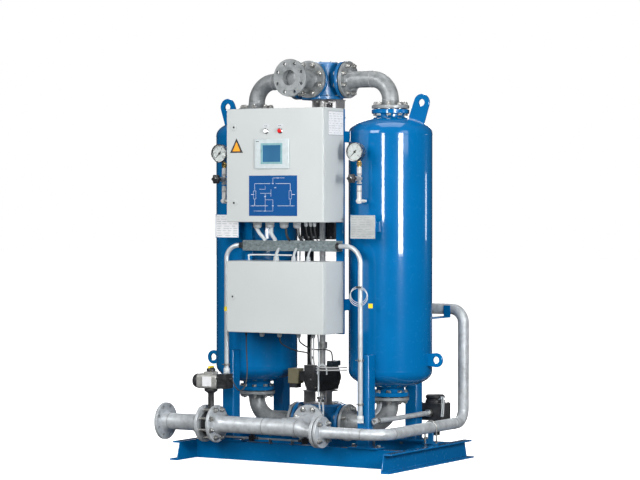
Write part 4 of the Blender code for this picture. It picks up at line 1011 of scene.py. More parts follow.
def make_manifold():
    """The inlet manifold: main pipe, branch to the lower valve, reducer and DN50 stub."""
    start = BUTTERFLY_X + 0.025
    end = -(PORT_FRONT + 0.002)
    shape = Shape()
    shape.pipe(
        [(start, INLET_Y, BOTTOM_LEVEL), (REDUCER_START + 0.001, INLET_Y, BOTTOM_LEVEL)], PIPE80, 0, 0.1,
        64, WELD_NECK80,
    )
    shape.pipe([(0, INLET_Y, BOTTOM_LEVEL), (0, end, BOTTOM_LEVEL)], PIPE80, 0, 0.1, 64, None, WELD_NECK80)
    reducer(shape)
    stub = [(DN50_JOINT - 0.001, INLET_Y, DN50_LEVEL), (REDUCER_END - 0.001, INLET_Y, DN50_LEVEL)]
    shape.pipe(stub, PIPE50, 0, 0.1, 64, WELD_NECK50)
    piece = shape.finish("inlet_manifold_pipe", "pipe", replaces=("inlet_manifold",))
    bores = Shape()
    bores.rod((start - 0.010, INLET_Y, BOTTOM_LEVEL), (REDUCER_START, INLET_Y, BOTTOM_LEVEL), BORE80, 64)
    bores.rod((0, INLET_Y, BOTTOM_LEVEL), (0, end + 0.010, BOTTOM_LEVEL), BORE80 - 0.0004, 64)
    carve(piece, bores)
    seams = Shape()
    for x, radius, level in (
        (-0.105, PIPE80, BOTTOM_LEVEL), (0.100, PIPE80, BOTTOM_LEVEL), (0.190, PIPE50, DN50_LEVEL),
    ):
        ring_bead(seams, Vector((x, INLET_Y, level)), X_AXIS, radius)
    ring_bead(seams, Vector((0, INLET_Y + 0.095, BOTTOM_LEVEL)), Y_AXIS, PIPE80)
    saddle_bead(seams)
    seams.finish("manifold_welds", "flange")


def saddle_bead(shape):
    """The curved weld where the branch leaves the main pipe."""
    points = []
    for i in range(65):
        t = 2 * math.pi * i / 64
        x = (PIPE80 + 0.001) * math.cos(t)
        z = (PIPE80 + 0.001) * math.sin(t)
        y = math.sqrt(max(0.0, (PIPE80 + 0.002) ** 2 - z * z))
        points.append(Vector((x, INLET_Y + y, BOTTOM_LEVEL + z)))
    shape.tube(points, 0.0028, 8)


def make_dn50_lines():
    """The regeneration line along the skid and its riser to the cooler."""
    start = DN50_JOINT
    split = RISER_Y - 0.110
    corners = [(start, INLET_Y, DN50_LEVEL), (RISER_X, INLET_Y, DN50_LEVEL), (RISER_X, split, DN50_LEVEL)]
    Shape().pipe(
        corners, PIPE50, BORE50, LONG_BEND50, 48, WELD_NECK50, None, 20,
    ).finish("regen_line_pipe", "pipe", replaces=("regen_line",))
    corner = Vector((RISER_X - 0.205, RISER_Y, RISER_TOP))
    cooler = Vector((COOLER.x, COOLER.y, RISER_TOP))
    entry = cooler + (corner - cooler).normalized() * 0.1105
    shape = Shape()
    riser = [
        (RISER_X, split + 0.0003, DN50_LEVEL), (RISER_X, RISER_Y, DN50_LEVEL),
        (RISER_X, RISER_Y, RISER_TOP), corner, entry,
    ]
    shape.pipe(riser, PIPE50, BORE50, BEND50, 48, None, None, 18)
    shape.finish("regen_riser_pipe", "pipe", replaces=("regen_riser",))
    seams = Shape()
    ring_bead(seams, Vector((RISER_X, split, DN50_LEVEL)), Y_AXIS, PIPE50)
    flush = PIPE50 - 0.0016
    ring_bead(seams, Vector((RISER_X, RISER_Y, DN50_LEVEL + BEND50)), Z_AXIS, flush)
    ring_bead(seams, Vector((RISER_X, RISER_Y, RISER_TOP - BEND50)), Z_AXIS, flush)
    ring_bead(seams, Vector((RISER_X, INLET_Y + LONG_BEND50, DN50_LEVEL)), Y_AXIS, PIPE50)
    ring_bead(seams, Vector((RISER_X - LONG_BEND50, INLET_Y, DN50_LEVEL)), X_AXIS, PIPE50)
    ring_bead(seams, entry, (corner - cooler).normalized(), PIPE50, 0.003)
    seams.finish("dn50_welds", "flange")


COOLER_RADIUS = 0.1095
COOLER_LOW = 0.440
COOLER_HIGH = 1.150
COOLER_FLANGES = (0.520, 1.070)
COOLER_BARREL = COOLER_RADIUS - 0.012
COOLER_CAP = 0.045
RETURN_BEND = 0.070


def make_cooler():
    """An upright shell-and-tube cooler, with a flange pair near either end and a name plate."""
    shape = Shape()
    cap = head_curve(COOLER_BARREL, COOLER_CAP, 10)
    profile = [(0.034, COOLER_LOW)] + [(r, COOLER_LOW + COOLER_CAP - h) for r, h in cap[::-1]]
    profile += [(COOLER_BARREL, COOLER_HIGH - COOLER_CAP)]
    profile += [(r, COOLER_HIGH - COOLER_CAP + h) for r, h in cap] + [(0.034, COOLER_HIGH)]
    shape.turned(profile, (COOLER.x, COOLER.y, 0), Z_AXIS, 72)
    for level in COOLER_FLANGES:
        for shift in (-0.013, 0.001):
            rim = COOLER_RADIUS - 0.001
            ring = [(rim, 0), (COOLER_RADIUS, 0.001), (COOLER_RADIUS, 0.011), (rim, 0.012)]
            shape.turned(ring, (COOLER.x, COOLER.y, level + shift), Z_AXIS, 72)
    pipe_way = [
        (COOLER.x, COOLER.y, COOLER_LOW + 0.01), (COOLER.x, COOLER.y, BOTTOM_LEVEL),
        (0, COOLER.y - 0.06, BOTTOM_LEVEL),
        (0, PORT_FRONT + 0.002, BOTTOM_LEVEL),
    ]
    shape.pipe(pipe_way, PIPE50, 0, 0.060, 48, None, WIDE_NECK50, 14)
    shape.finish("regen_cooler_shell", "pipe", replaces=("regen_cooler",))
    bolts = Shape()
    for level in COOLER_FLANGES:
        for i in range(8):
            t = 2 * math.pi * (i + 0.5) / 8
            place = Vector((COOLER.x + 0.1035 * math.cos(t), COOLER.y + 0.1035 * math.sin(t), level + 0.013))
            bolts.bolt(place, -Z_AXIS, 0.026, 0.004, 0.002)
    bolts.finish("cooler_bolts", "zinc")
    Shape().box(
        (COOLER.x, COOLER.y + COOLER_RADIUS - 0.011, 0.900), (0.080, 0.003, 0.050),
    ).finish("cooler_plate", "label", bevel=0.0006)


def make_return_pipe():
    """The pipe from the upper valve's back port down to the cooler's top."""
    x, y, turn = 0.272, 0.264, 1.300
    corners = [
        (0, PORT_FRONT + 0.002, TOP_LEVEL), (0, y, TOP_LEVEL), (x, y, TOP_LEVEL), (x, y, turn),
        (COOLER.x, COOLER.y, turn), (COOLER.x, COOLER.y, COOLER_HIGH + 0.0003),
    ]
    Shape().pipe(
        corners, PIPE50, BORE50, RETURN_BEND, 48, WIDE_NECK50, None, 16,
    ).finish("cooler_return_line", "pipe", replaces=("cooler_return_pipe",))
    seams = Shape()
    ring_bead(seams, Vector((RETURN_BEND, y, TOP_LEVEL)), X_AXIS, PIPE50)
    ring_bead(seams, Vector((x, y, TOP_LEVEL - RETURN_BEND)), Z_AXIS, PIPE50)
    ring_bead(seams, Vector((x, y, turn + RETURN_BEND)), Z_AXIS, PIPE50)
    ring_bead(seams, Vector((COOLER.x, COOLER.y, COOLER_HIGH)), Z_AXIS, PIPE50, 0.003)
    seams.finish("return_welds", "flange")


VENT = Vector((0.485, 0.0, 0.247))


def make_vent():
    """The vent pipe between the front and the drain valve, with its fittings and bracket."""
    Shape().pipe(
        [(VENT.x, -0.286, VENT.z), (VENT.x, 0.330, VENT.z)], 0.01345, 0.0105, 0.1, 32,
    ).finish("vent_pipe_round", "pipe", replaces=("vent_pipe",))
    fittings = Shape()
    for y in (-0.268, 0.300):
        fittings.hexagon((VENT.x, y, VENT.z), Y_AXIS, 0.038, 0.026)
    fittings.finish("vent_fittings", "zinc", bevel=0.0006)
    Shape().block(
        (0.455, -0.252, BASE_PLATE_TOP + 0.0002), (0.466, -0.240, 0.262),
    ).finish("vent_bracket", "zinc", bevel=0.0006)


def make_drain_valve():
    """A solenoid valve behind the right tower: a cast body and a capped bonnet."""
    x, y = VENT.x, 0.388
    low, shoulder, top = 0.205, 0.298, 0.345
    body = Shape()
    body.block((x - 0.065, 0.3303, low), (x + 0.065, 0.4453, shoulder))
    body.block((x - 0.020, y - 0.020, CHANNEL_HEIGHT + 0.020), (x + 0.020, y + 0.020, low + 0.005))
    body.turned(
        [(0.054, shoulder - 0.005), (0.054, 0.312), (0.048, 0.316), (0.048, 0.322)], (x, y, 0), Z_AXIS, 48,
    )
    body.finish("drain_valve_body", "black", bevel=0.005, segments=3, replaces=("drain_valve",))
    cap = Shape()
    profile = [(0.048, 0.322), (0.053, 0.325), (0.053, top - 0.010), (0.044, top - 0.001), (0.012, top)]
    cap.turned(profile, (x, y, 0), Z_AXIS, 48)
    cap.finish("drain_valve_cap", "black", bevel=0.0008)
    screws = Shape()
    for sx in (-0.055, 0.055):
        for sy in (-0.047, 0.047):
            screws.rod(
                (x + sx, y + sy, shoulder - 0.0005), (x + sx, y + sy, shoulder + 0.0035), 0.0050, 20,
                0.0006,
            )
            screws.hexagon((x + sx, y + sy, shoulder + 0.0035), Z_AXIS, 0.006, 0.001)
    screws.finish("drain_valve_screws", "steel")
    leads = Shape()
    for k, reach_x in enumerate((0.088, 0.078)):
        way = [
            (x + 0.040, 0.352 + 0.01 * k, 0.318), (x + reach_x - 0.010, 0.332, 0.335),
            (x + reach_x, 0.322, 0.290),
            (x + reach_x - 0.006, 0.326, 0.240), (x + reach_x - 0.014, 0.336, 0.228),
            (x + 0.062, 0.345, 0.236),
        ]
        leads.tube(smooth_route(way, 10), 0.003, 12)
    leads.finish("drain_valve_leads", "tube")


# ---- changeover valves ------------------------------------------------------------------------

CHAMBER_RADIUS = 0.070
CHAMBER_HALF = 0.072
VALVE_RADIUS = 0.100
VALVE_HALF = 0.095
STEM_HOLE = 0.0185
SHAFT_RADIUS = 0.016
SHAFT_COUPLINGS = (0.600, 1.800)
DECK_THICKNESS = 0.007
STOP_X = 0.043
SPRING_RADIUS = 0.0185
SPRING_TURNS = 5


def port_flange(shape, centre, axis):
    """A valve port, from the body's middle out to its flange face."""
    reach_out = PORT_REACH if abs(axis.x) > 0.5 else PORT_FRONT
    profile = [
        (0.060, 0.0), (0.060, reach_out - PLATE - 0.012), (0.066, reach_out - PLATE),
        (FLANGE80 - 0.002, reach_out - PLATE), (FLANGE80, reach_out - PLATE + 0.002),
        (FLANGE80, reach_out - 0.0045), (FLANGE80 - FLANGE_EDGE, reach_out - RAISED),
        (0.069, reach_out - RAISED), (0.069, reach_out),
    ]
    shape.turned(profile, centre, axis, 64)


def valve_shape(level, up):
    """A changeover valve's body: a short drum, four ports and a flat cover boss."""
    shape = Shape()
    centre = Vector((0, 0, level))
    half = VALVE_HALF
    profile = [(0.060, -half), (VALVE_RADIUS - 0.010, -half)]
    profile += [(VALVE_RADIUS, -half + h) for h in (0.010, 0.020, 0.030)]
    profile += [(VALVE_RADIUS, half - h) for h in (0.030, 0.020, 0.010)]
    profile += [(VALVE_RADIUS - 0.010, half), (0.060, half)]
    shape.turned(profile, centre, Z_AXIS, 72)
    for axis in (X_AXIS, -X_AXIS, Y_AXIS, -Y_AXIS):
        port_flange(shape, centre, axis)
    sign = 1 if up else -1
    face = centre + Z_AXIS * sign * (VALVE_HALF - 0.002)
    shape.turned([(0.088, 0), (0.088, 0.0015), (0.030, 0.0018)], face, Z_AXIS * sign, 64)
    return shape


def valve_tools(level, up):
    """The chamber, the four ports and the stem's hole."""
    tools = Shape()
    tools.rod((0, 0, level - CHAMBER_HALF), (0, 0, level + CHAMBER_HALF), CHAMBER_RADIUS, 64)
    tools.rod((-0.2, 0, level), (0.2, 0, level), BORE80, 48)
    tools.rod((0, -0.2, level), (0, 0.2, level), BORE80, 48)
    end = level + 0.2 if up else level - 0.2
    tools.rod((0, 0, level), (0, 0, end), STEM_HOLE, 32)
    return tools


def cover_bolts(shape, level, direction, circle_radius, count, size=0.006):
    """A ring of hexagon heads on a valve's cover."""
    for i in range(count):
        t = 2 * math.pi * (i + 0.5) / count
        place = Vector((circle_radius * math.cos(t), circle_radius * math.sin(t), level))
        shape.rod(place, place + direction * 0.0015, size * 1.2, 20)
        shape.hexagon(place + direction * 0.0015, direction, size * 1.8, size * 0.8)


def bracket(deck, sides, foot, top):
    """A bracket of flat plate: a deck at either end and upright sides between them."""
    shape = Shape()
    x0, y0, x1, y1 = deck
    for bottom in (foot, top - DECK_THICKNESS):
        shape.block((x0, y0, bottom), (x1, y1, bottom + DECK_THICKNESS))
    for x0, y0, x1, y1 in sides:
        shape.block((x0, y0, foot + 0.004), (x1, y1, top - 0.004))
    return shape


def top_valve():
    """The upper changeover valve with its bracket, stop can and spring below it."""
    shape = valve_shape(TOP_LEVEL, False)
    low = TOP_LEVEL - VALVE_HALF
    shape.turned(
        [(0.110, low - 0.010), (0.112, low - 0.008), (0.112, low + 0.006), (0.110, low + 0.008)], sides=72,
    )
    piece = shape.finish("top_valve_casting", "casting", replaces=("top_valve_body",))
    carve(piece, valve_tools(TOP_LEVEL, False))
    deck = low - 0.111
    sides = ((-0.035, -0.052, -0.026, 0.043), (0.109, -0.045, 0.117, 0.040))
    yoke = bracket((-0.037, -0.054, 0.119, 0.045), sides, deck, low - 0.0103)
    piece = yoke.finish("top_valve_bracket", "bracket")
    carve(piece, Shape().rod((0, 0, deck - 0.02), (0, 0, low), STEM_HOLE, 32))
    soften(piece, 0.0012)
    Shape().rod(
        (STOP_X, 0, deck + 0.006), (STOP_X, 0, low - 0.030), 0.0165, 36, 0.002,
    ).finish("top_valve_stop", "black")
    way = []
    steps = SPRING_TURNS * 16
    for i in range(steps + 1):
        t = 2 * math.pi * i / 16
        height = low - 0.072 + 0.054 * i / steps
        way.append(Vector((STOP_X + SPRING_RADIUS * math.cos(t), SPRING_RADIUS * math.sin(t), height)))
    Shape().tube(way, 0.0022, 10).finish("top_valve_spring", "steel")
    bolts = Shape()
    cover_bolts(bolts, low + 0.008, Z_AXIS, 0.1055, 12, 0.0055)
    cover_bolts(bolts, TOP_LEVEL + VALVE_HALF - 0.0006, Z_AXIS, 0.074, 8, 0.0050)
    for x, y in ((-0.010, -0.044), (0.092, -0.038), (0.092, 0.034), (-0.010, 0.036)):
        bolts.hexagon((x, y, low - 0.0173), -Z_AXIS, 0.013, 0.008)
    bolts.finish("top_valve_bolts", "zinc", bevel=0.0004)


def bottom_valve():
    """The lower changeover valve with its yoke."""
    shape = valve_shape(BOTTOM_LEVEL, True)
    piece = shape.finish("bottom_valve_casting", "casting", replaces=("bottom_valve_body",))
    carve(piece, valve_tools(BOTTOM_LEVEL, True))
    bolts = Shape()
    cover_bolts(bolts, BOTTOM_LEVEL - VALVE_HALF + 0.0006, -Z_AXIS, 0.074, 8)
    cover_bolts(bolts, BOTTOM_LEVEL + VALVE_HALF, Z_AXIS, 0.081, 12, 0.0050)
    bolts.finish("bottom_valve_bolts", "zinc", bevel=0.0004)
    refine("bottom_valve_yoke", "bracket", 0.0012)


def make_rotors():
    """Both rotors and the upright shaft that links them, with its couplings."""
    refine("top_valve_rotor", "iron", 0.0008)
    refine("bottom_valve_rotor", "iron", 0.0008)
    low_end, high_end = span("link_shaft")
    Shape().rod((0, 0, low_end.z), (0, 0, high_end.z), SHAFT_RADIUS, 48, 0.0008).finish(
        "link_shaft_round", "white_steel", "bottom_valve_rotor", "bright_steel", replaces=("link_shaft",),
    )
    clamps = Shape()
    for level in SHAFT_COUPLINGS:
        clamps.rod((0, 0, level), (0, 0, level + 0.036), 0.026, 40, 0.0012)
        clamps.rod((0.008, -0.028, level + 0.018), (0.008, -0.020, level + 0.018), 0.005, 20, 0.0006)
    clamps.finish("link_shaft_couplings", "aluminium", "bottom_valve_rotor", bevel=0.0006)


ACTUATOR_LOW = span("changeover_actuator")[0].z
ACTUATOR_HIGH = span("changeover_actuator")[1].z
ACTUATOR_SHOULDER = 0.503


def squared(turn, power):
    """A point of a circle of radius 1, pushed out towards a square by a power below 1."""
    across, up = math.cos(turn), math.sin(turn)
    return math.copysign(abs(across) ** power, across), math.copysign(abs(up) ** power, up)


def changeover_actuator():
    """A rack and pinion actuator lying front to back: ribbed body, screwed end caps and a switch box."""
    shoulder = ACTUATOR_SHOULDER
    middle_z = (ACTUATOR_LOW + shoulder) / 2
    shape = Shape()
    shape.block((-0.0475, -0.100, ACTUATOR_LOW), (0.0475, 0.100, shoulder))
    piece = shape.finish("changeover_actuator_case", "black", replaces=("changeover_actuator",))
    carve(piece, Shape().rod((0, 0, ACTUATOR_LOW - 0.02), (0, 0, shoulder + 0.02), STEM_HOLE, 48))
    soften(piece, 0.010, 4)
    ribs = Shape()
    for z in (-0.030, -0.012, 0.012, 0.030):
        for side in (-1, 1):
            ribs.box((side * 0.0478, 0, middle_z + z), (0.003, 0.150, 0.006))
    ribs.finish("changeover_actuator_ribs", "black", bevel=0.001)
    caps = Shape()
    screws = Shape()
    for side in (-1, 1):
        oval = []
        for pull, y in ((0.002, 0.098), (0.0, 0.100), (0.0, 0.114), (0.003, 0.120), (0.008, 0.123)):
            ring = []
            for i in range(64):
                across, up = squared(2 * math.pi * i / 64, 0.75)
                ring.append(Vector(((0.0455 - pull) * across, side * y, middle_z + (0.0610 - pull) * up)))
            oval.append(ring)
        caps.skin(oval)
        for ring in (0.044, 0.034, 0.022):
            profile = [
                (ring, 0.1225), (ring - 0.0006, 0.1264), (ring - 0.0044, 0.1264), (ring - 0.005, 0.1225),
            ]
            caps.turned(profile, (0, 0, middle_z), Y_AXIS * side, 56, True)
        for dx in (-0.030, 0.030):
            for dz in (-0.042, 0.042):
                screws.rod(
                    (dx, side * 0.120, middle_z + dz), (dx, side * 0.1255, middle_z + dz), 0.0040, 20,
                    0.0006,
                )
        screws.rod((0, side * 0.1220, middle_z), (0, side * 0.1262, middle_z), 0.0050, 24, 0.0008)
    caps.finish("changeover_actuator_caps", "black")
    box = Shape()
    box.block((0.008, 0.030, shoulder - 0.001), (0.050, 0.110, ACTUATOR_HIGH))
    box.block((0.014, 0.018, shoulder - 0.001), (0.044, 0.031, ACTUATOR_HIGH - 0.006))
    box.finish("changeover_switch_box", "slate", bevel=0.003, segments=3)
    for x, y in ((0.014, 0.037), (0.044, 0.037), (0.014, 0.103), (0.044, 0.103)):
        screws.rod((x, y, ACTUATOR_HIGH - 0.001), (x, y, ACTUATOR_HIGH + 0.002), 0.0030, 16, 0.0004)
    screws.finish("changeover_actuator_screws", "zinc")


# ---- inlet butterfly valve --------------------------------------------------------------------


def make_butterfly():
    """The wafer body between its flanges, the long tie bolts, the disc and the neck."""
    centre = Vector((BUTTERFLY_X, INLET_Y, BOTTOM_LEVEL))
    half = 0.023
    shape = Shape()
    profile = [
        (0.0405, -half), (0.0645, -half), (0.066, -half + 0.0015), (0.066, -0.012), (0.061, -0.008),
        (0.061, 0.008),
        (0.066, 0.012), (0.066, half - 0.0015), (0.0645, half), (0.0405, half),
    ]
    shape.turned(profile, centre, X_AXIS, 72, True)
    piece = shape.finish("butterfly_wafer", "black", replaces=("butterfly_body",), slot="cast_aluminium")
    top = span("butterfly_body")[1].z - centre.z
    profile = [
        (0.019, 0.055), (0.019, 0.080), (0.0165, 0.090), (0.0165, top - 0.024), (0.034, top - 0.013),
        (0.036, top - 0.011), (0.036, top),
    ]
    neck = Shape()
    neck.turned(profile, centre, Z_AXIS, 48)
    neck_piece = neck.finish("butterfly_neck", "black", slot="cast_aluminium", bevel=0.0006)
    for part in (piece, neck_piece):
        carve(part, Shape().rod(centre, centre + Z_AXIS * 0.25, 0.0085, 32))
    bolts = Shape()
    bolts.bolt_ring(centre, X_AXIS, CIRCLE80, 8, 2 * half + 0.044)
    bolts.finish("butterfly_tie_bolts", "zinc", bevel=0.0004)
    refine("butterfly_disc", "steel", 0.0008)


INLET_ACTUATOR_LOW = span("inlet_actuator")[0].z
INLET_ACTUATOR_HIGH = span("inlet_actuator")[1].z


def inlet_actuator():
    """The pneumatic actuator of the inlet valve: rounded body, end cap and switch box."""
    low_z = INLET_ACTUATOR_LOW
    high_z = INLET_ACTUATOR_HIGH
    y = INLET_Y
    centre_z = (low_z + high_z) / 2 - 0.006
    body = Shape()
    outline = []
    half = 0.040
    height = (high_z - 0.012 - low_z) / 2
    for i in range(48):
        across, up = squared(2 * math.pi * (i + 0.5) / 48, 0.42)
        outline.append(Vector((-0.515, y + half * across, low_z + height + height * up)))
    body.prism(outline, (0.127, 0, 0))
    body.block((BUTTERFLY_X - 0.028, y - 0.028, high_z - 0.020), (BUTTERFLY_X + 0.028, y + 0.028, high_z))
    piece = body.finish("inlet_actuator_body", "aluminium", replaces=("inlet_actuator",))
    carve(piece, Shape().rod((BUTTERFLY_X, y, low_z - 0.02), (BUTTERFLY_X, y, high_z + 0.02), 0.009, 32))
    soften(piece, 0.0015)
    Shape().turned(
        [(0.036, 0), (0.038, 0.003), (0.038, 0.022), (0.032, 0.032), (0.010, 0.0365)],
        (-0.5152, y, centre_z), -X_AXIS, 48,
    ).finish("inlet_actuator_cap", "black", bevel=0.0006)
    box = Shape()
    box.block((-0.3875, y - 0.038, low_z + 0.004), (-0.331, y + 0.038, high_z - 0.010))
    for z in (0.020, 0.040, 0.060):
        box.box((-0.360, y - 0.0385, low_z + z), (0.040, 0.004, 0.005))
    box.finish("inlet_switch_box", "black", bevel=0.004, segments=3)
    Shape().box(
        (-0.448, y - half - 0.0003, low_z + 0.040), (0.058, 0.0012, 0.052),
    ).finish("inlet_actuator_plate", "paper", bevel=0.0004)
    screws = Shape()
    for dz in (-0.026, 0.026):
        for dy in (-0.022, 0.022):
            screws.rod(
                (-0.547, y + dy, centre_z + dz * 0.6), (-0.538, y + dy, centre_z + dz * 0.6), 0.0035, 18,
                0.0005,
            )
    for dz in (0.012, 0.064):
        screws.rod((-0.380, y - 0.0410, low_z + dz), (-0.380, y - 0.0375, low_z + dz), 0.0032, 18, 0.0005)
    screws.finish("inlet_actuator_screws", "steel")


def make_indicator():
    """The position indicator on the inlet actuator, which turns with the disc."""
    low_z = span("position_indicator")[0].z
    pivot = Vector((BUTTERFLY_X, INLET_Y, low_z))
    knob = Shape()
    knob.turned(
        [(0.023, 0), (0.024, 0.001), (0.024, 0.010), (0.022, 0.013), (0.016, 0.0195), (0.004, 0.020)],
        pivot, Z_AXIS, 48,
    )
    knob.finish(
        "position_indicator_knob", "black", "position_indicator", bevel=0.0004,
        replaces=("position_indicator",),
    )
    Shape().block(
        pivot + Vector((-0.006, -0.022, 0.015)), pivot + Vector((0.006, 0.022, 0.027)),
    ).finish("position_indicator_bar", "yellow", "position_indicator", bevel=0.0015)


# ---- control air ------------------------------------------------------------------------------


def band(shape, place, inner, outer, level, height, sides):
    """A flat upright band round something at place, from level up."""
    top = level + height
    shape.turned(
        [(inner, level), (outer, level), (outer, top), (inner, top)], (*place, 0), Z_AXIS, sides, True,
    )


def make_control_air():
    """An upright receiver behind the enclosures on its slim feed pipe, and the pilot valves beside it."""
    x, y = -0.141, 0.094
    radius, neck = 0.025, 0.0115
    shape = Shape()
    dome = [(r, 0.790 - h) for r, h in head_curve(radius, 0.018, 8)[::-1] if r > neck]
    crown = [(r, 1.760 + h) for r, h in head_curve(radius, 0.018, 8) if r > neck]
    shape.turned([(neck, 0.330), (neck, 0.773)] + dome + crown + [(neck, 1.780)], (x, y, 0), Z_AXIS, 48)
    shape.finish("control_air_receiver", "black", replaces=("control_air_unit",))
    valves = Shape()
    for i in range(6):
        left = x - 0.014 + 0.0355 * i
        valves.block((left, y - 0.070, 1.191), (left + 0.034, y - 0.015, 1.289))
        valves.block((left + 0.004, y - 0.064, 1.288), (left + 0.029, y - 0.020, 1.318))
    valves.finish("pilot_valve_coils", "black", bevel=0.002)
    fittings = Shape()
    for i in range(6):
        place = Vector((x + 0.003 + 0.0355 * i, y - 0.070, 1.202))
        fittings.hexagon(place, -Y_AXIS, 0.011, 0.006)
    fittings.finish("pilot_fittings", "dull_steel")
    bands = Shape()
    for level in (0.900, 1.640):
        band(bands, (x, y), 0.0252, 0.0262, level, 0.016, 40)
        bands.block((x - 0.008, y - 0.034, level), (x + 0.008, y - 0.024, level + 0.016))
    bands.finish("receiver_bands", "dull_steel", bevel=0.0004)


# ---- frame behind the enclosures --------------------------------------------------------------

TRAY_LOW = span("cable_tray")[0].z
TRAY_MIDDLE = 1.161
CONDUIT_Y = -0.318
CONDUIT_LEFT = -0.413
CONDUIT_RIGHT = 0.421
CONDUIT_FOOT_LEFT = 0.487
CONDUIT_FOOT_RIGHT = 0.266


def make_posts():
    """The posts and tray that carry the enclosures, with their bolts and welds."""
    refine("post_left", "blue", 0.003, 3)
    refine("post_right", "blue", 0.003, 3)
    refine("cable_tray", "sheet", 0.0006)
    bolts = Shape()
    for x in (-0.3245, 0.2465):
        for z in (0.760, 1.000, 1.360, 1.820):
            bolts.hexagon((x, -0.2165, z), Y_AXIS, 0.013, 0.0055)
            bolts.rod((x, -0.2168, z), (x, -0.2150, z), 0.010, 24)
    bolts.finish("post_bolts", "zinc", bevel=0.0004)
    welds = Shape()
    for x, face in ((0.2615, -0.1600), (-0.3395, -0.2088)):
        for level in (0.850, 1.740):
            for i, edge in enumerate((x - 0.0075, x + 0.0075)):
                weld_bead(
                    welds, (edge, face - 0.003, level - 0.030), (edge, face - 0.003, level + 0.030), 0.0030,
                    31 + i,
                )
    welds.finish("post_pad_welds", "blue")


def make_conduits():
    """The two rigid conduits from the tray's ends, with their nuts, clamps and end fittings."""
    for label, start, x, foot, bend in (
        ("right", BOX_RIGHT + 0.001, CONDUIT_RIGHT, CONDUIT_FOOT_RIGHT, 0.090),
        ("left", BOX_LEFT - 0.001, CONDUIT_LEFT, CONDUIT_FOOT_LEFT, 0.070),
    ):
        corners = [(start, -0.300, TRAY_MIDDLE), (x, CONDUIT_Y, TRAY_MIDDLE), (x, CONDUIT_Y, foot)]
        Shape().pipe(corners, 0.0125, 0, bend, 32, None, None, 16).finish(
            f"conduit_{label}_tube", "tube_steel", replaces=(f"conduit_{label}",),
        )
    nuts = Shape()
    for x, z in ((CONDUIT_RIGHT, CONDUIT_FOOT_RIGHT), (CONDUIT_LEFT, CONDUIT_FOOT_LEFT)):
        nuts.hexagon((x, CONDUIT_Y, z - 0.026), Z_AXIS, 0.033, 0.014)
        profile = [(0.0150, 0), (0.0168, 0.003), (0.0168, 0.020), (0.0140, 0.024)]
        nuts.turned(profile, (x, CONDUIT_Y, z - 0.012), Z_AXIS, 32)
    nuts.finish("conduit_nuts", "tube")
    clamps = Shape()
    for x, z in ((CONDUIT_RIGHT, 0.330), (CONDUIT_RIGHT, 0.560), (CONDUIT_LEFT, 0.510)):
        band(clamps, (x, CONDUIT_Y), 0.0126, 0.0146, z, 0.012, 32)
        clamps.block((x - 0.005, -0.3055, z), (x + 0.005, -0.2933, z + 0.012))
        clamps.rod((x - 0.030, CONDUIT_Y, z + 0.006), (x - 0.0135, CONDUIT_Y, z + 0.006), 0.0022, 12)
    clamps.finish("conduit_clamps", "zinc")
    ends = Shape()
    for x, direction in ((BOX_RIGHT - 0.006, 1), (BOX_LEFT + 0.006, -1)):
        axis = X_AXIS * direction
        ends.hexagon((x, -0.2995, TRAY_MIDDLE), axis, 0.034, 0.006)
        profile = [(0.0150, 0), (0.0160, 0.001), (0.0160, 0.010), (0.0140, 0.012)]
        ends.turned(profile, (x + direction * 0.006, -0.2998, TRAY_MIDDLE), axis, 32)
    ends.finish("tray_end_fittings", "black")


# ---- enclosures -------------------------------------------------------------------------------

RAIL_HEIGHT = 0.035
RAIL_DEPTH = 0.0078
DUCT_DEPTH = 0.040
DEVICE_FOOT = 0.0085
CABINET_RAILS = (1.400, 1.560, 1.720)
CABINET_DUCTS = (1.480, 1.640, 1.800)
POWER_RAILS = (0.820, 0.960)
CABINET_LOW = span("cabinet_shell")[0].z
CABINET_HIGH = span("cabinet_shell")[1].z
POWER_LOW = span("power_box_shell")[0].z
POWER_HIGH = span("power_box_shell")[1].z
DOOR_BACK = span("cabinet_door")[1].y
LOCKS = (
    ("door_lock_upper", -0.281, 1.791), ("door_lock_lower", -0.281, 1.389),
    ("power_box_lock", -0.290, 0.891),
)
GLANDS = ((-0.208, 0.046), (-0.130, 0.046), (-0.040, 0.046), (0.040, 0.040))
SMALL_GLANDS = ((0.096, 0.020), (0.124, 0.018), (0.148, 0.018))
GLAND_Y = -0.330
BUTTON_Z = 1.769
BUTTONS = (("start_button", -0.0794, "white"), ("stop_button", 0.0077, "red"))


def seal_strip(name, low_z, high_z):
    """The foam seal round the mouth of an enclosure."""
    shape = Shape()
    front = DOOR_BACK + 0.0004
    rim = 0.016
    for x0, x1, z0, z1 in (
        (BOX_LEFT + rim, BOX_RIGHT - rim, low_z + rim, low_z + rim + 0.007),
        (BOX_LEFT + rim, BOX_RIGHT - rim, high_z - rim - 0.007, high_z - rim),
        (BOX_LEFT + rim, BOX_LEFT + rim + 0.007, low_z + rim, high_z - rim),
        (BOX_RIGHT - rim - 0.007, BOX_RIGHT - rim, low_z + rim, high_z - rim),
    ):
        shape.block((x0, front - 0.0040, z0), (x1, front + 0.0004, z1))
    shape.finish(name, "gasket", bevel=0.0008)


def make_shells():
    """The enclosures' shells, doors and seals."""
    for node in ("cabinet_shell", "power_box_shell", "cabinet_door", "power_box_door"):
        refine(node, "coat", 0.0030, 4)
    seal_strip("cabinet_seal", CABINET_LOW, CABINET_HIGH)
    seal_strip("power_box_seal", POWER_LOW, POWER_HIGH)


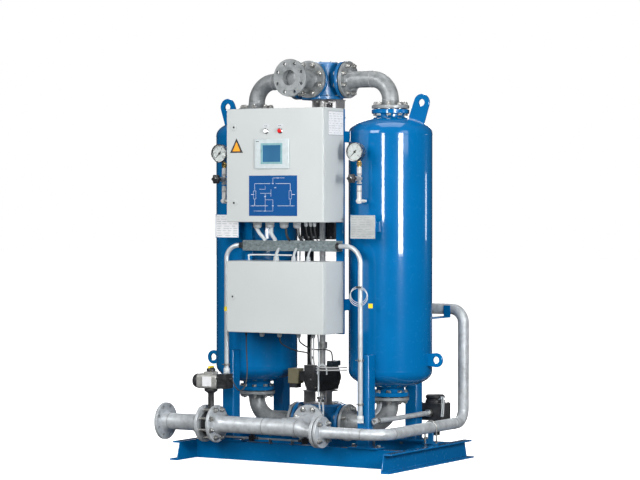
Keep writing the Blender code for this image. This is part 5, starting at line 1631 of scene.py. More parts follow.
def make_locks():
    """Quarter-turn locks: a collar, a square-key insert and the cam behind the door."""
    for name, x, z in LOCKS:
        door = "power_box_door" if name == "power_box_lock" else "cabinet_door"
        pivot = Vector((x, DOOR_FRONT, z))
        Shape().turned(
            [(0.0156, -0.0006), (0.0157, -0.0016), (0.0150, -0.0029), (0.0050, -0.0030)], pivot, Y_AXIS, 48,
        ).finish(f"{name}_collar", "coat", name)
        key = Shape()
        key.turned([(0.0058, -0.0030), (0.0056, -0.0033), (0.0020, -0.0033)], pivot, Y_AXIS, 32)
        key.box(pivot + Vector((0, -0.0034, 0)), (0.0050, 0.0012, 0.0050))
        key.finish(f"{name}_key", "lining", name, slot="black_plastic")
        Shape().turned(
            [(0.0162, -0.0003), (0.0162, -0.0016), (0.0205, -0.0016), (0.0210, -0.0003)], pivot, Y_AXIS, 48,
            True,
        ).finish(f"{name}_washer", "coat", door)
        refine(name, "coat", 0.0004)


def make_buttons():
    """Push buttons in bright bezels, each with a plain label plate above it."""
    for name, x, material in BUTTONS:
        pivot = Vector((x, DOOR_FRONT, BUTTON_Z))
        Shape().turned(
            [(0.0106, 0.008), (0.0106, -0.0120), (0.0098, -0.0136), (0.0060, -0.0139)], pivot, Y_AXIS, 48,
        ).finish(f"{name}_cap", material, name, replaces=(name,))
        bezel = Shape()
        bezel.turned(
            [
                (0.0125, -0.0002), (0.0150, -0.0012), (0.0150, -0.0050), (0.0135, -0.0068),
                (0.0112, -0.0068), (0.0112, -0.0002),
            ],
            pivot, Y_AXIS, 48, True,
        )
        bezel.finish(f"{name}_bezel", "steel", "cabinet_door")
        Shape().box(
            (x + 0.001, DOOR_FRONT - 0.0007, BUTTON_Z + 0.027), (0.034, 0.0010, 0.014),
        ).finish(f"{name}_label", "label", "cabinet_door", bevel=0.0003)
        marks = Shape()
        for shift, width in ((-0.008, 0.006), (0.002, 0.009)):
            marks.box((x + shift, DOOR_FRONT - 0.0013, BUTTON_Z + 0.027), (width, 0.0004, 0.0030))
        marks.finish(f"{name}_label_marks", "rubber", "cabinet_door", slot="panel_plastic")


PANEL_X = middle("touch_panel").x
PANEL_Z = middle("touch_panel").z
PANEL_FRONT = span("touch_panel")[0].y


def frame_of(shape, x, z, width, height, hole_w, hole_h, y0, y1):
    """A rectangular frame facing the front, sloping in towards its opening."""
    loops = []
    for w, h, y in (
        (width, height, y1), (width, height, y0), (hole_w, hole_h, y0),
        (hole_w - 0.004, hole_h - 0.004, y1),
    ):
        loops.append(
            [Vector((x + sx * w / 2, y, z + sz * h / 2)) for sx, sz in ((-1, -1), (1, -1), (1, 1), (-1, 1))]
        )
    shape.skin(loops, True)


def make_panel():
    """The operator panel: a pale bezel, a teal surround and the lit screen."""
    refine("touch_panel", "bezel", 0.0022, 3)
    rim = Shape()
    frame_of(
        rim, PANEL_X, PANEL_Z + 0.002, 0.134, 0.110, 0.112, 0.090, PANEL_FRONT - 0.0014,
        PANEL_FRONT + 0.0002,
    )
    rim.finish("touch_panel_surround", "teal", "cabinet_door", bevel=0.0005)
    Shape().box(
        (PANEL_X, PANEL_FRONT - 0.0002, PANEL_Z + 0.002), (0.1135, 0.0008, 0.0915),
    ).finish("touch_panel_screen", "screen", "cabinet_door")
    Shape().box(
        (PANEL_X - 0.088, PANEL_FRONT - 0.0002, PANEL_Z + 0.066), (0.020, 0.0006, 0.0030),
    ).finish("touch_panel_mark", "rubber", "cabinet_door", slot="panel_plastic")


DIAGRAM = (-0.186, 0.113, 1.321, 1.534)
PRINT_ROWS = 9
PRINT_PITCH = 0.0125


def diagram_line(shape, points, width=0.0013):
    """A run of thin printed strips between points given across and up the diagram, from 0 to 1."""
    left, right, low_z, high_z = DIAGRAM
    front = DOOR_FRONT - 0.0016
    for (a, b), (c, d) in zip(points, points[1:]):
        x0, x1 = sorted((left + (right - left) * a, left + (right - left) * c))
        z0, z1 = sorted((low_z + (high_z - low_z) * b, low_z + (high_z - low_z) * d))
        shape.block((x0 - width / 2, front, z0 - width / 2), (x1 + width / 2, front + 0.0003, z1 + width / 2))


def valve_mark(shape, across, up, size=0.0045):
    """Two triangles point to point, as a valve is drawn."""
    left, right, low_z, high_z = DIAGRAM
    x = left + (right - left) * across
    z = low_z + (high_z - low_z) * up
    front = DOOR_FRONT - 0.0018
    for side in (-1, 1):
        outline = [
            Vector((x, front, z)), Vector((x + side * size, front, z - size * 0.7)),
            Vector((x + side * size, front, z + size * 0.7)),
        ]
        shape.prism(outline if side > 0 else outline[::-1], (0, 0.0004, 0))


def make_diagram():
    """The process diagram: a blue plate with the flow drawn in thin white lines, and no lettering."""
    left, right, low_z, high_z = DIAGRAM
    Shape().box(
        ((left + right) / 2, DOOR_FRONT - 0.0008, (low_z + high_z) / 2),
        (right - left, 0.0012, high_z - low_z),
    ).finish("process_diagram", "plate_blue", "cabinet_door", bevel=0.0004)
    drawn = Shape()
    towers = (
        [(0.12, 0.62), (0.12, 0.80), (0.44, 0.80)], [(0.56, 0.80), (0.86, 0.80), (0.86, 0.62)],
        [(0.12, 0.42), (0.12, 0.25), (0.40, 0.25)], [(0.60, 0.25), (0.86, 0.25), (0.86, 0.42)],
    )
    for points in towers:
        diagram_line(drawn, points, 0.0018)
    thin = (
        [(0.50, 0.80), (0.50, 0.94), (0.74, 0.94)], [(0.34, 0.12), (0.34, 0.56)],
        [(0.34, 0.40), (0.50, 0.40), (0.50, 0.25)],
        [(0.24, 0.56), (0.46, 0.56)], [(0.46, 0.48), (0.46, 0.66)],
        [(0.10, 0.12), (0.50, 0.12), (0.50, 0.25)],
        [(0.03, 0.25), (0.12, 0.25)], [(0.86, 0.25), (0.95, 0.25)],
        [(0.22, 0.66), (0.34, 0.66), (0.34, 0.74)],
    )
    for points in thin:
        diagram_line(drawn, points)
    for across in (0.12, 0.86):
        for up in (0.42, 0.62):
            diagram_line(drawn, [(across - 0.025, up), (across + 0.025, up)], 0.0013)
        for edge in (-0.025, 0.025):
            diagram_line(drawn, [(across + edge, 0.42), (across + edge, 0.62)], 0.0011)
    for across, up in (
        (0.50, 0.80), (0.50, 0.25), (0.08, 0.25), (0.90, 0.25), (0.34, 0.12), (0.55, 0.70), (0.34, 0.48),
        (0.60, 0.94),
    ):
        valve_mark(drawn, across, up)
    for across, up, width in ((0.05, 0.53, 0.05), (0.90, 0.53, 0.05), (0.16, 0.12, 0.10)):
        diagram_line(drawn, [(across, up), (across + width, up)], 0.0028)
    drawn.finish("process_diagram_lines", "pale_mark", "cabinet_door")


def printed_rows(seed, top, start, last_start, end, lengths, gaps):
    """Yields where each short dash begins and ends, and its height, in rows of print that spell nothing."""
    rng = random.Random(seed)
    for row in range(PRINT_ROWS):
        place = start
        while place < last_start:
            length = rng.uniform(*lengths)
            yield place, min(place + length, end), top - row * PRINT_PITCH
            place += length + rng.uniform(*gaps)


def make_door_plates():
    """A plain amber triangle on the door and a pale data plate on the cabinet's right side."""
    x, z, half, height = -0.265, 1.694, 0.0405, 0.077
    for name, shrink, material, front in (
        ("triangle_edge", 0.0, "rubber", 0.0010), ("triangle", 0.0135, "amber", 0.0016),
    ):
        low_z = z - height / 2 + shrink * 0.6
        outline = [
            Vector((x - half + shrink * 1.2, DOOR_FRONT - front, low_z)),
            Vector((x + half - shrink * 1.2, DOOR_FRONT - front, low_z)),
            Vector((x, DOOR_FRONT - front, z + height / 2 - shrink * 1.3)),
        ]
        Shape().prism(outline, (0, front - 0.0003, 0)).finish(
            f"door_{name}", material, "cabinet_door", slot="panel_plastic",
        )
    Shape().block(
        (BOX_RIGHT + 0.0001, -0.397, 1.744), (BOX_RIGHT + 0.0006, -0.241, 1.872),
    ).finish("cabinet_side_plate_edge", "faint_mark")
    Shape().block(
        (BOX_RIGHT + 0.0005, -0.394, 1.747), (BOX_RIGHT + 0.0010, -0.244, 1.869),
    ).finish("cabinet_side_plate", "paper")
    marks = Shape()
    for near, far, z in printed_rows(5, 1.857, -0.388, -0.262, -0.250, (0.008, 0.030), (0.006, 0.020)):
        marks.block((BOX_RIGHT + 0.0009, near, z - 0.0010), (BOX_RIGHT + 0.0012, far, z + 0.0008))
    marks.finish("cabinet_side_plate_marks", "faint_mark")


def row_of_blocks(shape, count, pitch, lowest, highest):
    """Equal blocks side by side, each one pitch to the right of the last."""
    for i in range(count):
        step = Vector((i * pitch, 0, 0))
        shape.block(Vector(lowest) + step, Vector(highest) + step)


def make_cabinet_inside():
    """What an open cabinet shows: rails, terminal strips, a power supply, a controller and wiring duct."""
    refine("mounting_plate", "sheet", 0.0006)
    plate_y = span("mounting_plate")[0].y
    rails = Shape()
    for z in CABINET_RAILS:
        rails.box((-0.028, plate_y - 0.0040, z), (0.470, RAIL_DEPTH, RAIL_HEIGHT))
    rails.finish("cabinet_rails", "zinc", bevel=0.0008)
    ducts = Shape()
    for z in CABINET_DUCTS:
        ducts.box((-0.028, plate_y - 0.0201, z), (0.480, DUCT_DEPTH, 0.030))
    for x in (-0.280, 0.224):
        ducts.box((x, plate_y - 0.0201, 1.590), (0.024, DUCT_DEPTH, 0.460))
    ducts.finish("cabinet_ducts", "duct", bevel=0.0012)
    slots = Shape()
    for z in CABINET_DUCTS:
        for i in range(38):
            slots.box((-0.255 + i * 0.0123, plate_y - 0.0402, z), (0.0040, 0.0006, 0.0240))
    slots.finish("cabinet_duct_slots", "rubber", slot="panel_plastic")
    devices = Shape()
    for x, width, z, tall in (
        (-0.215, 0.060, 1.720, 0.100), (-0.140, 0.054, 1.720, 0.100), (-0.080, 0.036, 1.720, 0.086),
        (-0.042, 0.018, 1.720, 0.086), (-0.022, 0.018, 1.720, 0.086),
    ):
        devices.block((x, plate_y - 0.068, z - tall / 2), (x + width, plate_y - DEVICE_FOOT, z + tall / 2))
    devices.block((0.020, plate_y - 0.080, 1.665), (0.180, plate_y - DEVICE_FOOT, 1.775))
    row_of_blocks(
        devices, 12, 0.0182, (-0.215, plate_y - 0.058, 1.520), (-0.1975, plate_y - DEVICE_FOOT, 1.600),
    )
    devices.finish("cabinet_devices", "duct", bevel=0.0015)
    terminals = Shape()
    row_of_blocks(
        terminals, 44, 0.0092, (-0.230, plate_y - 0.050, 1.376), (-0.2216, plate_y - DEVICE_FOOT, 1.424),
    )
    terminals.finish("cabinet_terminals", "label", bevel=0.0006)
    lights = Shape()
    for i in range(8):
        lights.box((0.034 + i * 0.018, plate_y - 0.0803, 1.764), (0.006, 0.0012, 0.004))
    for i in range(6):
        lights.box((-0.206 + i * 0.036, plate_y - 0.0583, 1.562), (0.008, 0.0012, 0.012))
    lights.finish("cabinet_device_switches", "orange", bevel=0.0003)
    cabinet_wires(plate_y)


def cabinet_wires(plate_y):
    """Short loops from the devices into the ducts."""
    shape = Shape()
    rng = random.Random(11)
    for base, far, count in ((1.600, 1.624, 22), (1.520, 1.497, 22), (1.424, 1.463, 40), (1.770, 1.784, 16)):
        for i in range(count):
            x = -0.215 + (0.420 / count) * i + rng.uniform(-0.002, 0.002)
            depth = rng.uniform(0.030, 0.040)
            way = [
                (x, plate_y - depth - 0.006, base), (x + 0.001, plate_y - depth - 0.016, (base + far) / 2),
                (x + 0.002, plate_y - depth + 0.004, far),
            ]
            shape.tube(smooth_route(way, 5), 0.0011, 6)
    shape.finish("cabinet_wires", "rubber")


def make_power_box_inside():
    """Contactors and fuse carriers on a small plate in the lower enclosure."""
    back = BOX_BACK - 0.0032
    Shape().block(
        (-0.290, back - 0.0045, POWER_LOW + 0.035), (0.234, back, POWER_HIGH - 0.035),
    ).finish("power_box_plate", "sheet", bevel=0.0006)
    face = back - 0.0045
    rails = Shape()
    for z in POWER_RAILS:
        rails.box((-0.028, face - 0.0040, z), (0.440, RAIL_DEPTH, RAIL_HEIGHT))
    rails.finish("power_box_rails", "zinc", bevel=0.0008)
    devices = Shape()
    row_of_blocks(devices, 4, 0.052, (-0.235, face - 0.080, 0.915), (-0.189, face - DEVICE_FOOT, 1.000))
    row_of_blocks(devices, 9, 0.0182, (0.000, face - 0.066, 0.918), (0.0175, face - DEVICE_FOOT, 1.002))
    devices.finish("power_box_devices", "duct", bevel=0.0015)
    terminals = Shape()
    row_of_blocks(terminals, 30, 0.0112, (-0.200, face - 0.052, 0.794), (-0.1897, face - DEVICE_FOOT, 0.846))
    terminals.finish("power_box_terminals", "label", bevel=0.0006)
    Shape().box(
        (-0.028, face - 0.0201, 0.885), (0.440, DUCT_DEPTH, 0.028),
    ).finish("power_box_duct", "duct", bevel=0.0012)


def gland(shape, place, axis, across, length):
    """A cable gland standing on place along axis."""
    place = Vector(place)
    axis = Vector(axis)
    radius = across / 2
    shape.hexagon(place, axis, across * 1.02, length * 0.35)
    shape.turned(
        [
            (radius * 0.96, 0), (radius, length * 0.08), (radius, length * 0.34),
            (radius * 0.90, length * 0.48), (radius * 0.62, length * 0.64),
        ],
        place + axis * length * 0.35, axis, 32,
    )


def corrugated(shape, points, radius, pitch=0.0042):
    """A ribbed plastic conduit along points."""
    places = smooth_route(points, 10)
    fine = []
    radii = []
    for a, b in zip(places, places[1:]):
        length = (b - a).length
        count = max(1, int(length / (pitch / 2)))
        for i in range(count):
            fine.append(a + (b - a) * i / count)
            radii.append(radius * (1.0 if len(fine) % 2 else 0.84))
    ends = [fine[0]] + fine + [fine[-1]]
    directions = [(b - a).normalized() for a, b in zip(ends, ends[2:])]
    axes = carried_axes(directions)
    shape.skin([circle(p, d, r, 20, x) for p, d, r, x in zip(fine, directions, radii, axes)])


def make_underside():
    """Glands below the cabinet, their conduits into the tray, and the tubes down to the power box."""
    shape = Shape()
    for x, across in GLANDS + SMALL_GLANDS:
        gland(shape, (x, GLAND_Y, CABINET_LOW), -Z_AXIS, across, 0.034 if across > 0.03 else 0.024)
    shape.finish("cabinet_glands", "gland", bevel=0.0006)
    ribbed = Shape()
    for x, shift in ((-0.200, 0.016), (-0.120, 0.0)):
        way = [
            (x - shift, GLAND_Y, CABINET_LOW - 0.030), (x + shift * 0.4, -0.328, 1.225),
            (x + shift, -0.300, 1.198),
            (x + shift * 0.6, -0.272, 1.172),
        ]
        corrugated(ribbed, way, 0.0105)
    ribbed.finish("cabinet_conduits", "tube")
    cables = Shape()
    for x, radius in ((-0.030, 0.0065), (0.050, 0.0045), (0.040, 0.0030)):
        way = [(x, GLAND_Y, CABINET_LOW - 0.022), (x + 0.002, -0.322, 1.215), (x + 0.004, -0.280, 1.176)]
        cables.tube(smooth_route(way, 10), radius, 16)
    for x, _ in SMALL_GLANDS:
        way = [(x, GLAND_Y, CABINET_LOW - 0.016), (x - 0.001, -0.320, 1.225), (x - 0.003, -0.275, 1.160)]
        cables.tube(smooth_route(way, 10), 0.0033, 14)
    cables.finish("cabinet_cables", "rubber")
    Shape().tube(
        smooth_route(
            [
                (-0.262, GLAND_Y, 1.0815), (-0.262, GLAND_Y, 1.104), (-0.240, GLAND_Y, 1.112),
                (0.010, GLAND_Y, 1.112),
            ],
            8,
        ),
        0.0042, 16,
    ).finish("air_line_upper", "tube")
    lower = Shape()
    for x, across in ((-0.090, 0.030), (0.020, 0.026), (0.110, 0.022)):
        gland(lower, (x, GLAND_Y, POWER_HIGH), Z_AXIS, across, 0.026)
    for x, across in ((-0.170, 0.026), (-0.060, 0.026), (0.060, 0.022), (0.150, 0.022)):
        gland(lower, (x, -0.345, POWER_LOW), -Z_AXIS, across, 0.026)
    lower.finish("power_box_glands", "gland", bevel=0.0006)
    risers = Shape()
    for x, radius in ((-0.090, 0.0085), (0.020, 0.0070), (0.110, 0.0055)):
        way = [
            (x, GLAND_Y, POWER_HIGH + 0.018), (x, -0.326, POWER_HIGH + 0.038),
            (x - 0.002, -0.302, TRAY_LOW + 0.012),
        ]
        risers.tube(smooth_route(way, 8), radius, 16)
    risers.finish("power_box_risers", "gland", slot="cable_rubber")


# ---- gauges -----------------------------------------------------------------------------------

GAUGE_RADIUS = 0.050
GAUGE_Z = 1.656
STOP_VALVE_Z = 1.517
TAPPING_Z = 1.400
DIAL_FIGURES = ("0", "4", "8", "12", "16", "20")
DIAL_STEPS = 50
DIAL_START = math.radians(225)
DIAL_SWEEP = math.radians(270)


def dial_point(centre, turn, radius, y):
    """A point of the dial at an angle and a distance from its middle."""
    return Vector((centre.x + radius * math.cos(turn), y, centre.z + radius * math.sin(turn)))


def dial_marks(shape, centre, y):
    """The dial's graduations, with every tenth one longer."""
    for i in range(DIAL_STEPS + 1):
        turn = DIAL_START - DIAL_SWEEP * i / DIAL_STEPS
        long_mark = i % 10 == 0
        inner = 0.0335 if long_mark else 0.0372
        width = 0.0009 if long_mark else 0.0005
        ray = Vector((math.cos(turn), 0, math.sin(turn)))
        side = Vector((-ray.z, 0, ray.x)) * width
        a = dial_point(centre, turn, inner, y)
        b = dial_point(centre, turn, 0.0405, y)
        shape.prism([a - side, b - side, b + side, a + side], (0, -0.0003, 0))


def dial_numbers(name, centre, y):
    """The figures round the dial, in one piece."""
    shape = Shape()
    for i, figure in enumerate(DIAL_FIGURES):
        turn = DIAL_START - DIAL_SWEEP * i / (len(DIAL_FIGURES) - 1)
        place = dial_point(centre, turn, 0.0275, y)
        text = bpy.data.curves.new("figure", "FONT")
        text.body = figure
        text.size = 0.0085
        text.extrude = 0.0002
        text.resolution_u = 2
        text.align_x = "CENTER"
        text.align_y = "CENTER"
        holder = bpy.data.objects.new("figure", text)
        bpy.context.collection.objects.link(holder)
        bpy.context.view_layer.update()
        mesh = bpy.data.meshes.new_from_object(holder.evaluated_get(bpy.context.evaluated_depsgraph_get()))
        start = len(shape.verts)
        shape.verts.extend(place + Vector((v.co.x, -v.co.z, v.co.y)) for v in mesh.vertices)
        shape.faces.extend(tuple(start + k for k in polygon.vertices) for polygon in mesh.polygons)
        bpy.data.objects.remove(holder, do_unlink=True)
        bpy.data.curves.remove(text)
        bpy.data.meshes.remove(mesh)
    shape.finish(name, "rubber", slot="black_plastic")


def make_gauge(label):
    """A gauge with its case, dial, glass, pointer and stop valve."""
    node = f"gauge_{label}"
    x = middle(node).x
    face = span(node)[0].y
    centre = Vector((x, 0, GAUGE_Z))
    needle_y = span(f"gauge_needle_{label}")[0].y
    dial_y = face + 0.0098
    case = Shape()
    outer = GAUGE_RADIUS
    profile = [
        (0.038, face + 0.041), (0.047, face + 0.040), (outer - 0.001, face + 0.034),
        (outer - 0.001, face + 0.012),
        (outer, face + 0.010), (outer, face + 0.002), (outer - 0.0015, face), (outer - 0.0042, face + 0.0006),
        (outer - 0.0050, face + 0.003), (outer - 0.0050, dial_y + 0.0012), (0.038, dial_y + 0.0014),
    ]
    case.turned(profile, centre, Y_AXIS, 80)
    case.finish(f"{node}_case", "case", replaces=(node,))
    Shape().turned(
        [(0.0447, dial_y), (0.0447, dial_y + 0.0010)], centre, Y_AXIS, 72,
    ).finish(f"{node}_dial", "dial")
    marks = Shape()
    dial_marks(marks, centre, dial_y)
    marks.finish(f"{node}_marks", "rubber", slot="black_plastic")
    dial_numbers(f"{node}_figures", centre, dial_y - 0.0002)
    glass = Shape()
    glass_y = min(needle_y - 0.0012, face + 0.0030)
    glass.turned([(0.0448, glass_y), (0.0448, glass_y + 0.0007)], centre, Y_AXIS, 72)
    glass.finish(f"{node}_glass", "glass")
    gauge_stem(label, x, -0.282)
    make_needle(label)
    make_knob(label)


def gauge_stem(label, x, y):
    """The brass gauge fitting, the needle valve and the tapping into the tower."""
    fitting = Shape()
    fitting.hexagon((x, y, GAUGE_Z - 0.072), Z_AXIS, 0.026, 0.020)
    fitting.rod((x, y, GAUGE_Z - 0.080), (x, y, GAUGE_Z - 0.046), 0.0105, 28, 0.0008)
    fitting.finish(f"gauge_{label}_fitting", "brass", bevel=0.0004)
    body = Shape()
    body.rod((x, y, 1.545), (x, y, GAUGE_Z - 0.078), 0.0125, 36, 0.0015)
    body.rod((x, y, 1.492), (x, y, 1.548), 0.0085, 28)
    body.rod((x, y, 1.386), (x, y, 1.482), 0.0125, 36, 0.0015)
    tower = TOWER_X if x > 0 else -TOWER_X
    shell_y = -math.sqrt(TOWER_RADIUS ** 2 - (x - tower) ** 2)
    body.rod((x, y, TAPPING_Z), (x, shell_y + 0.002, TAPPING_Z), 0.010, 32)
    body.hexagon((x, y - 0.0130, TAPPING_Z), -Y_AXIS, 0.020, 0.006)
    body.rod((x + 0.011, y, TAPPING_Z), (x + 0.042, y, TAPPING_Z), 0.0070, 24, 0.0008)
    body.finish(f"gauge_{label}_stem", "white_steel", bevel=0.0005)
    valve = Shape()
    valve.rod((x, y - 0.0545, STOP_VALVE_Z), (x, y + 0.013, STOP_VALVE_Z), 0.0115, 36, 0.0012)
    valve.hexagon((x, y - 0.028, STOP_VALVE_Z), Y_AXIS, 0.026, 0.010)
    for level, height in ((1.535, 0.011), (1.488, 0.012), (1.447, 0.010)):
        valve.hexagon((x, y, level), Z_AXIS, 0.0262, height)
    valve.finish(f"gauge_{label}_valve", "dull_steel", slot="gauge_steel", bevel=0.0005)
    Shape().rod(
        (x, shell_y - 0.012, TAPPING_Z), (x, shell_y + 0.004, TAPPING_Z), 0.018, 36, 0.002,
    ).finish(f"gauge_{label}_boss", "blue")


def make_needle(label):
    """A pointer with a tail and a round hub, turned to the dial's zero."""
    node = f"gauge_needle_{label}"
    near, far = span(f"gauge_{label}")
    centre = Vector(((near.x + far.x) / 2, near.y + 0.0062, GAUGE_Z))
    ray = Vector((math.cos(DIAL_START), 0, math.sin(DIAL_START)))
    side = Vector((-ray.z, 0, ray.x))
    shape = Shape()
    edge = ((-0.013, 0.0026), (0.010, 0.0024), (0.034, 0.0006))
    outline = [centre + ray * along - side * half for along, half in edge]
    outline += [centre + ray * along + side * half for along, half in edge[::-1]]
    shape.prism(outline, (0, 0.0010, 0))
    shape.turned([(0.0066, -0.0010), (0.0066, 0.0014), (0.0050, 0.0014)], centre, Y_AXIS, 32)
    shape.finish(f"{node}_pointer", "rubber", node_body(node), replaces=(node,))


def make_knob(label):
    """A six-lobed hand knob with a bright centre screw."""
    node = f"gauge_knob_{label}"
    low_end, high_end = span(node)
    x = (low_end.x + high_end.x) / 2
    z = (low_end.z + high_end.z) / 2
    front = low_end.y
    depth = 0.022
    shape = Shape()
    points = 96
    loops = []
    for shift, pull in (
        (0.0, 0.0035), (0.0012, 0.0014), (0.0035, 0.0), (depth - 0.0035, 0.0), (depth - 0.0012, 0.0014),
        (depth, 0.0035),
    ):
        ring = []
        for i in range(points):
            turn = 2 * math.pi * i / points
            radius = 0.0235 + 0.0030 * math.cos(6 * turn) - pull
            ring.append(Vector((x + radius * math.cos(turn), front + shift, z + radius * math.sin(turn))))
        loops.append(ring)
    shape.skin(loops)
    shape.rod((x, front + depth - 0.001, z), (x, high_end.y, z), 0.007, 28)
    shape.finish(f"{node}_grip", "black", node, replaces=(node,))
    Shape().turned(
        [(0.0060, 0.0004), (0.0058, -0.0002), (0.0040, -0.0006)], (x, front, z), Y_AXIS, 32,
    ).finish(f"{node}_screw", "steel", node)


# ---- small parts seen on the machine ----------------------------------------------------------


def name_plates():
    """Plain pale plates on blue-edged brackets in front of each tower, with rows of faint print."""
    y = -0.300
    for label, x0, x1, tower, material, seed in (
        ("left", -0.496, -0.345, -TOWER_X, "paper", 3),
        ("right", 0.348, 0.502, TOWER_X, "label_steel", 4),
    ):
        holder = Shape()
        holder.block((x0, y, 1.200), (x1, y + 0.003, 1.328))
        for x in (x0 + 0.020, x1 - 0.026):
            shell = -math.sqrt(max(0.0, TOWER_RADIUS ** 2 - (x + 0.003 - tower) ** 2))
            holder.block((x, y + 0.002, 1.236), (x + 0.006, shell + 0.002, 1.292))
        holder.finish(f"name_plate_{label}_bracket", "blue", bevel=0.0008)
        plate = Shape().block((x0 + 0.003, y - 0.0016, 1.203), (x1 - 0.003, y - 0.0001, 1.325))
        plate.finish(f"name_plate_{label}", material, bevel=0.0004)
        marks = Shape()
        rows = printed_rows(seed, 1.314, x0 + 0.010, x1 - 0.030, x1 - 0.010, (0.010, 0.036), (0.005, 0.022))
        for near, far, z in rows:
            marks.block((near, y - 0.0020, z - 0.0013), (far, y - 0.0015, z + 0.0010))
        marks.finish(f"name_plate_{label}_print", "faint_mark")
        rivets = Shape()
        for x in (x0 + 0.008, x1 - 0.008):
            for z in (1.208, 1.320):
                rivets.turned(
                    [(0.0026, 0), (0.0022, 0.0008), (0.0010, 0.0012)], (x, y - 0.0015, z), -Y_AXIS, 20,
                )
        rivets.finish(f"name_plate_{label}_rivets", "steel")


def front_air_line():
    """The thin air line along the front of the skid, with its tees and hoses."""
    y, z = -0.300, 0.125
    Shape().rod((-0.430, y, z), (0.060, y, z), 0.0050, 20).finish("air_line_front", "tube_steel")
    nuts = Shape()
    for x in (-0.250, 0.035):
        nuts.hexagon((x, y, z), X_AXIS, 0.021, 0.018)
        nuts.hexagon((x + 0.020, y, z), X_AXIS, 0.018, 0.012)
    nuts.finish("air_line_nuts", "steel", bevel=0.0004)
    tees = Shape()
    for x in (-0.275, 0.060):
        tees.block((x, y - 0.014, z - 0.014), (x + 0.026, y + 0.014, z + 0.014))
        tees.rod((x + 0.013, y, z + 0.012), (x + 0.013, y, z + 0.030), 0.0090, 24, 0.001)
    tees.finish("air_line_tees", "black", bevel=0.002)
    supports = Shape()
    for x in (-0.150, -0.010):
        supports.block((x, y - 0.010, 0.1002), (x + 0.004, y + 0.016, z + 0.001))
    supports.finish("air_line_supports", "zinc", bevel=0.0004)


def beam_clamp():
    """The U-bolt that ties the DN50 run to the right side beam."""
    y = 0.115
    x = RISER_X
    radius = PIPE50 + 0.0045
    shape = Shape()
    turns = [math.pi * i / 20 for i in range(21)]
    bend = [Vector((x + radius * math.cos(t), y, DN50_LEVEL + radius * math.sin(t))) for t in turns]
    foot = CHANNEL_HEIGHT + 0.004
    way = [Vector((x + radius, y, foot))] + bend + [Vector((x - radius, y, foot))]
    shape.tube(way, 0.0040, 16)
    for side in (-1, 1):
        shape.hexagon((x + side * radius, y, foot + 0.007), Z_AXIS, 0.013, 0.006)
    shape.finish("beam_clamp_bolt", "zinc")
    saddle = Shape()
    saddle.block(
        (x - 0.044, y - 0.010, CHANNEL_HEIGHT + 0.0002), (x + 0.044, y + 0.010, CHANNEL_HEIGHT + 0.006),
    )
    saddle.block(
        (x - 0.014, y - 0.008, CHANNEL_HEIGHT + 0.004), (x + 0.014, y + 0.008, DN50_LEVEL - PIPE50 + 0.001),
    )
    saddle.finish("beam_clamp_saddle", "casting", bevel=0.0012)


def riser_bracket():
    """A blue strap that ties the top of the riser's run to the right tower."""
    shape = Shape()
    z = RISER_TOP
    x = 0.520
    shape.block((x - 0.020, 0.190, z - 0.046), (x + 0.020, RISER_Y - PIPE50 + 0.002, z - 0.038))
    shape.block(
        (x - 0.020, RISER_Y - PIPE50 - 0.004, z - 0.046), (x + 0.020, RISER_Y - PIPE50 + 0.002, z + 0.020),
    )
    shape.finish("riser_bracket", "blue", bevel=0.001)


def cable_coil():
    """A few turns of thin cable hung on the right conduit, and tags on their cords."""
    x, y = CONDUIT_RIGHT, -0.334
    shape = Shape()
    for k, (radius, z, tilt) in enumerate(
        ((0.052, 0.905, 0.10), (0.049, 0.912, -0.12), (0.054, 0.898, 0.02))
    ):
        ring = []
        for i in range(49):
            t = 2 * math.pi * i / 48
            ring.append(Vector((
                x + radius * math.cos(t), y - 0.002 * k + tilt * radius * math.sin(t) * 0.3,
                z + radius * 0.86 * math.sin(t),
            )))
        shape.tube(ring, 0.0014, 8)
    shape.finish("cable_coil", "tube")
    Shape().rod((x, y + 0.001, 0.945), (x, y + 0.001, 0.955), 0.0155, 24).finish("cable_coil_tie", "rubber")
    tags = Shape()
    tags.block((0.478, -0.3345, 0.842), (0.504, -0.3335, 0.866))
    tags.rod((CONDUIT_LEFT, CONDUIT_Y, 0.806), (CONDUIT_LEFT, CONDUIT_Y, 0.830), 0.0132, 32)
    tags.finish("yellow_tags", "yellow", slot="white_plastic")


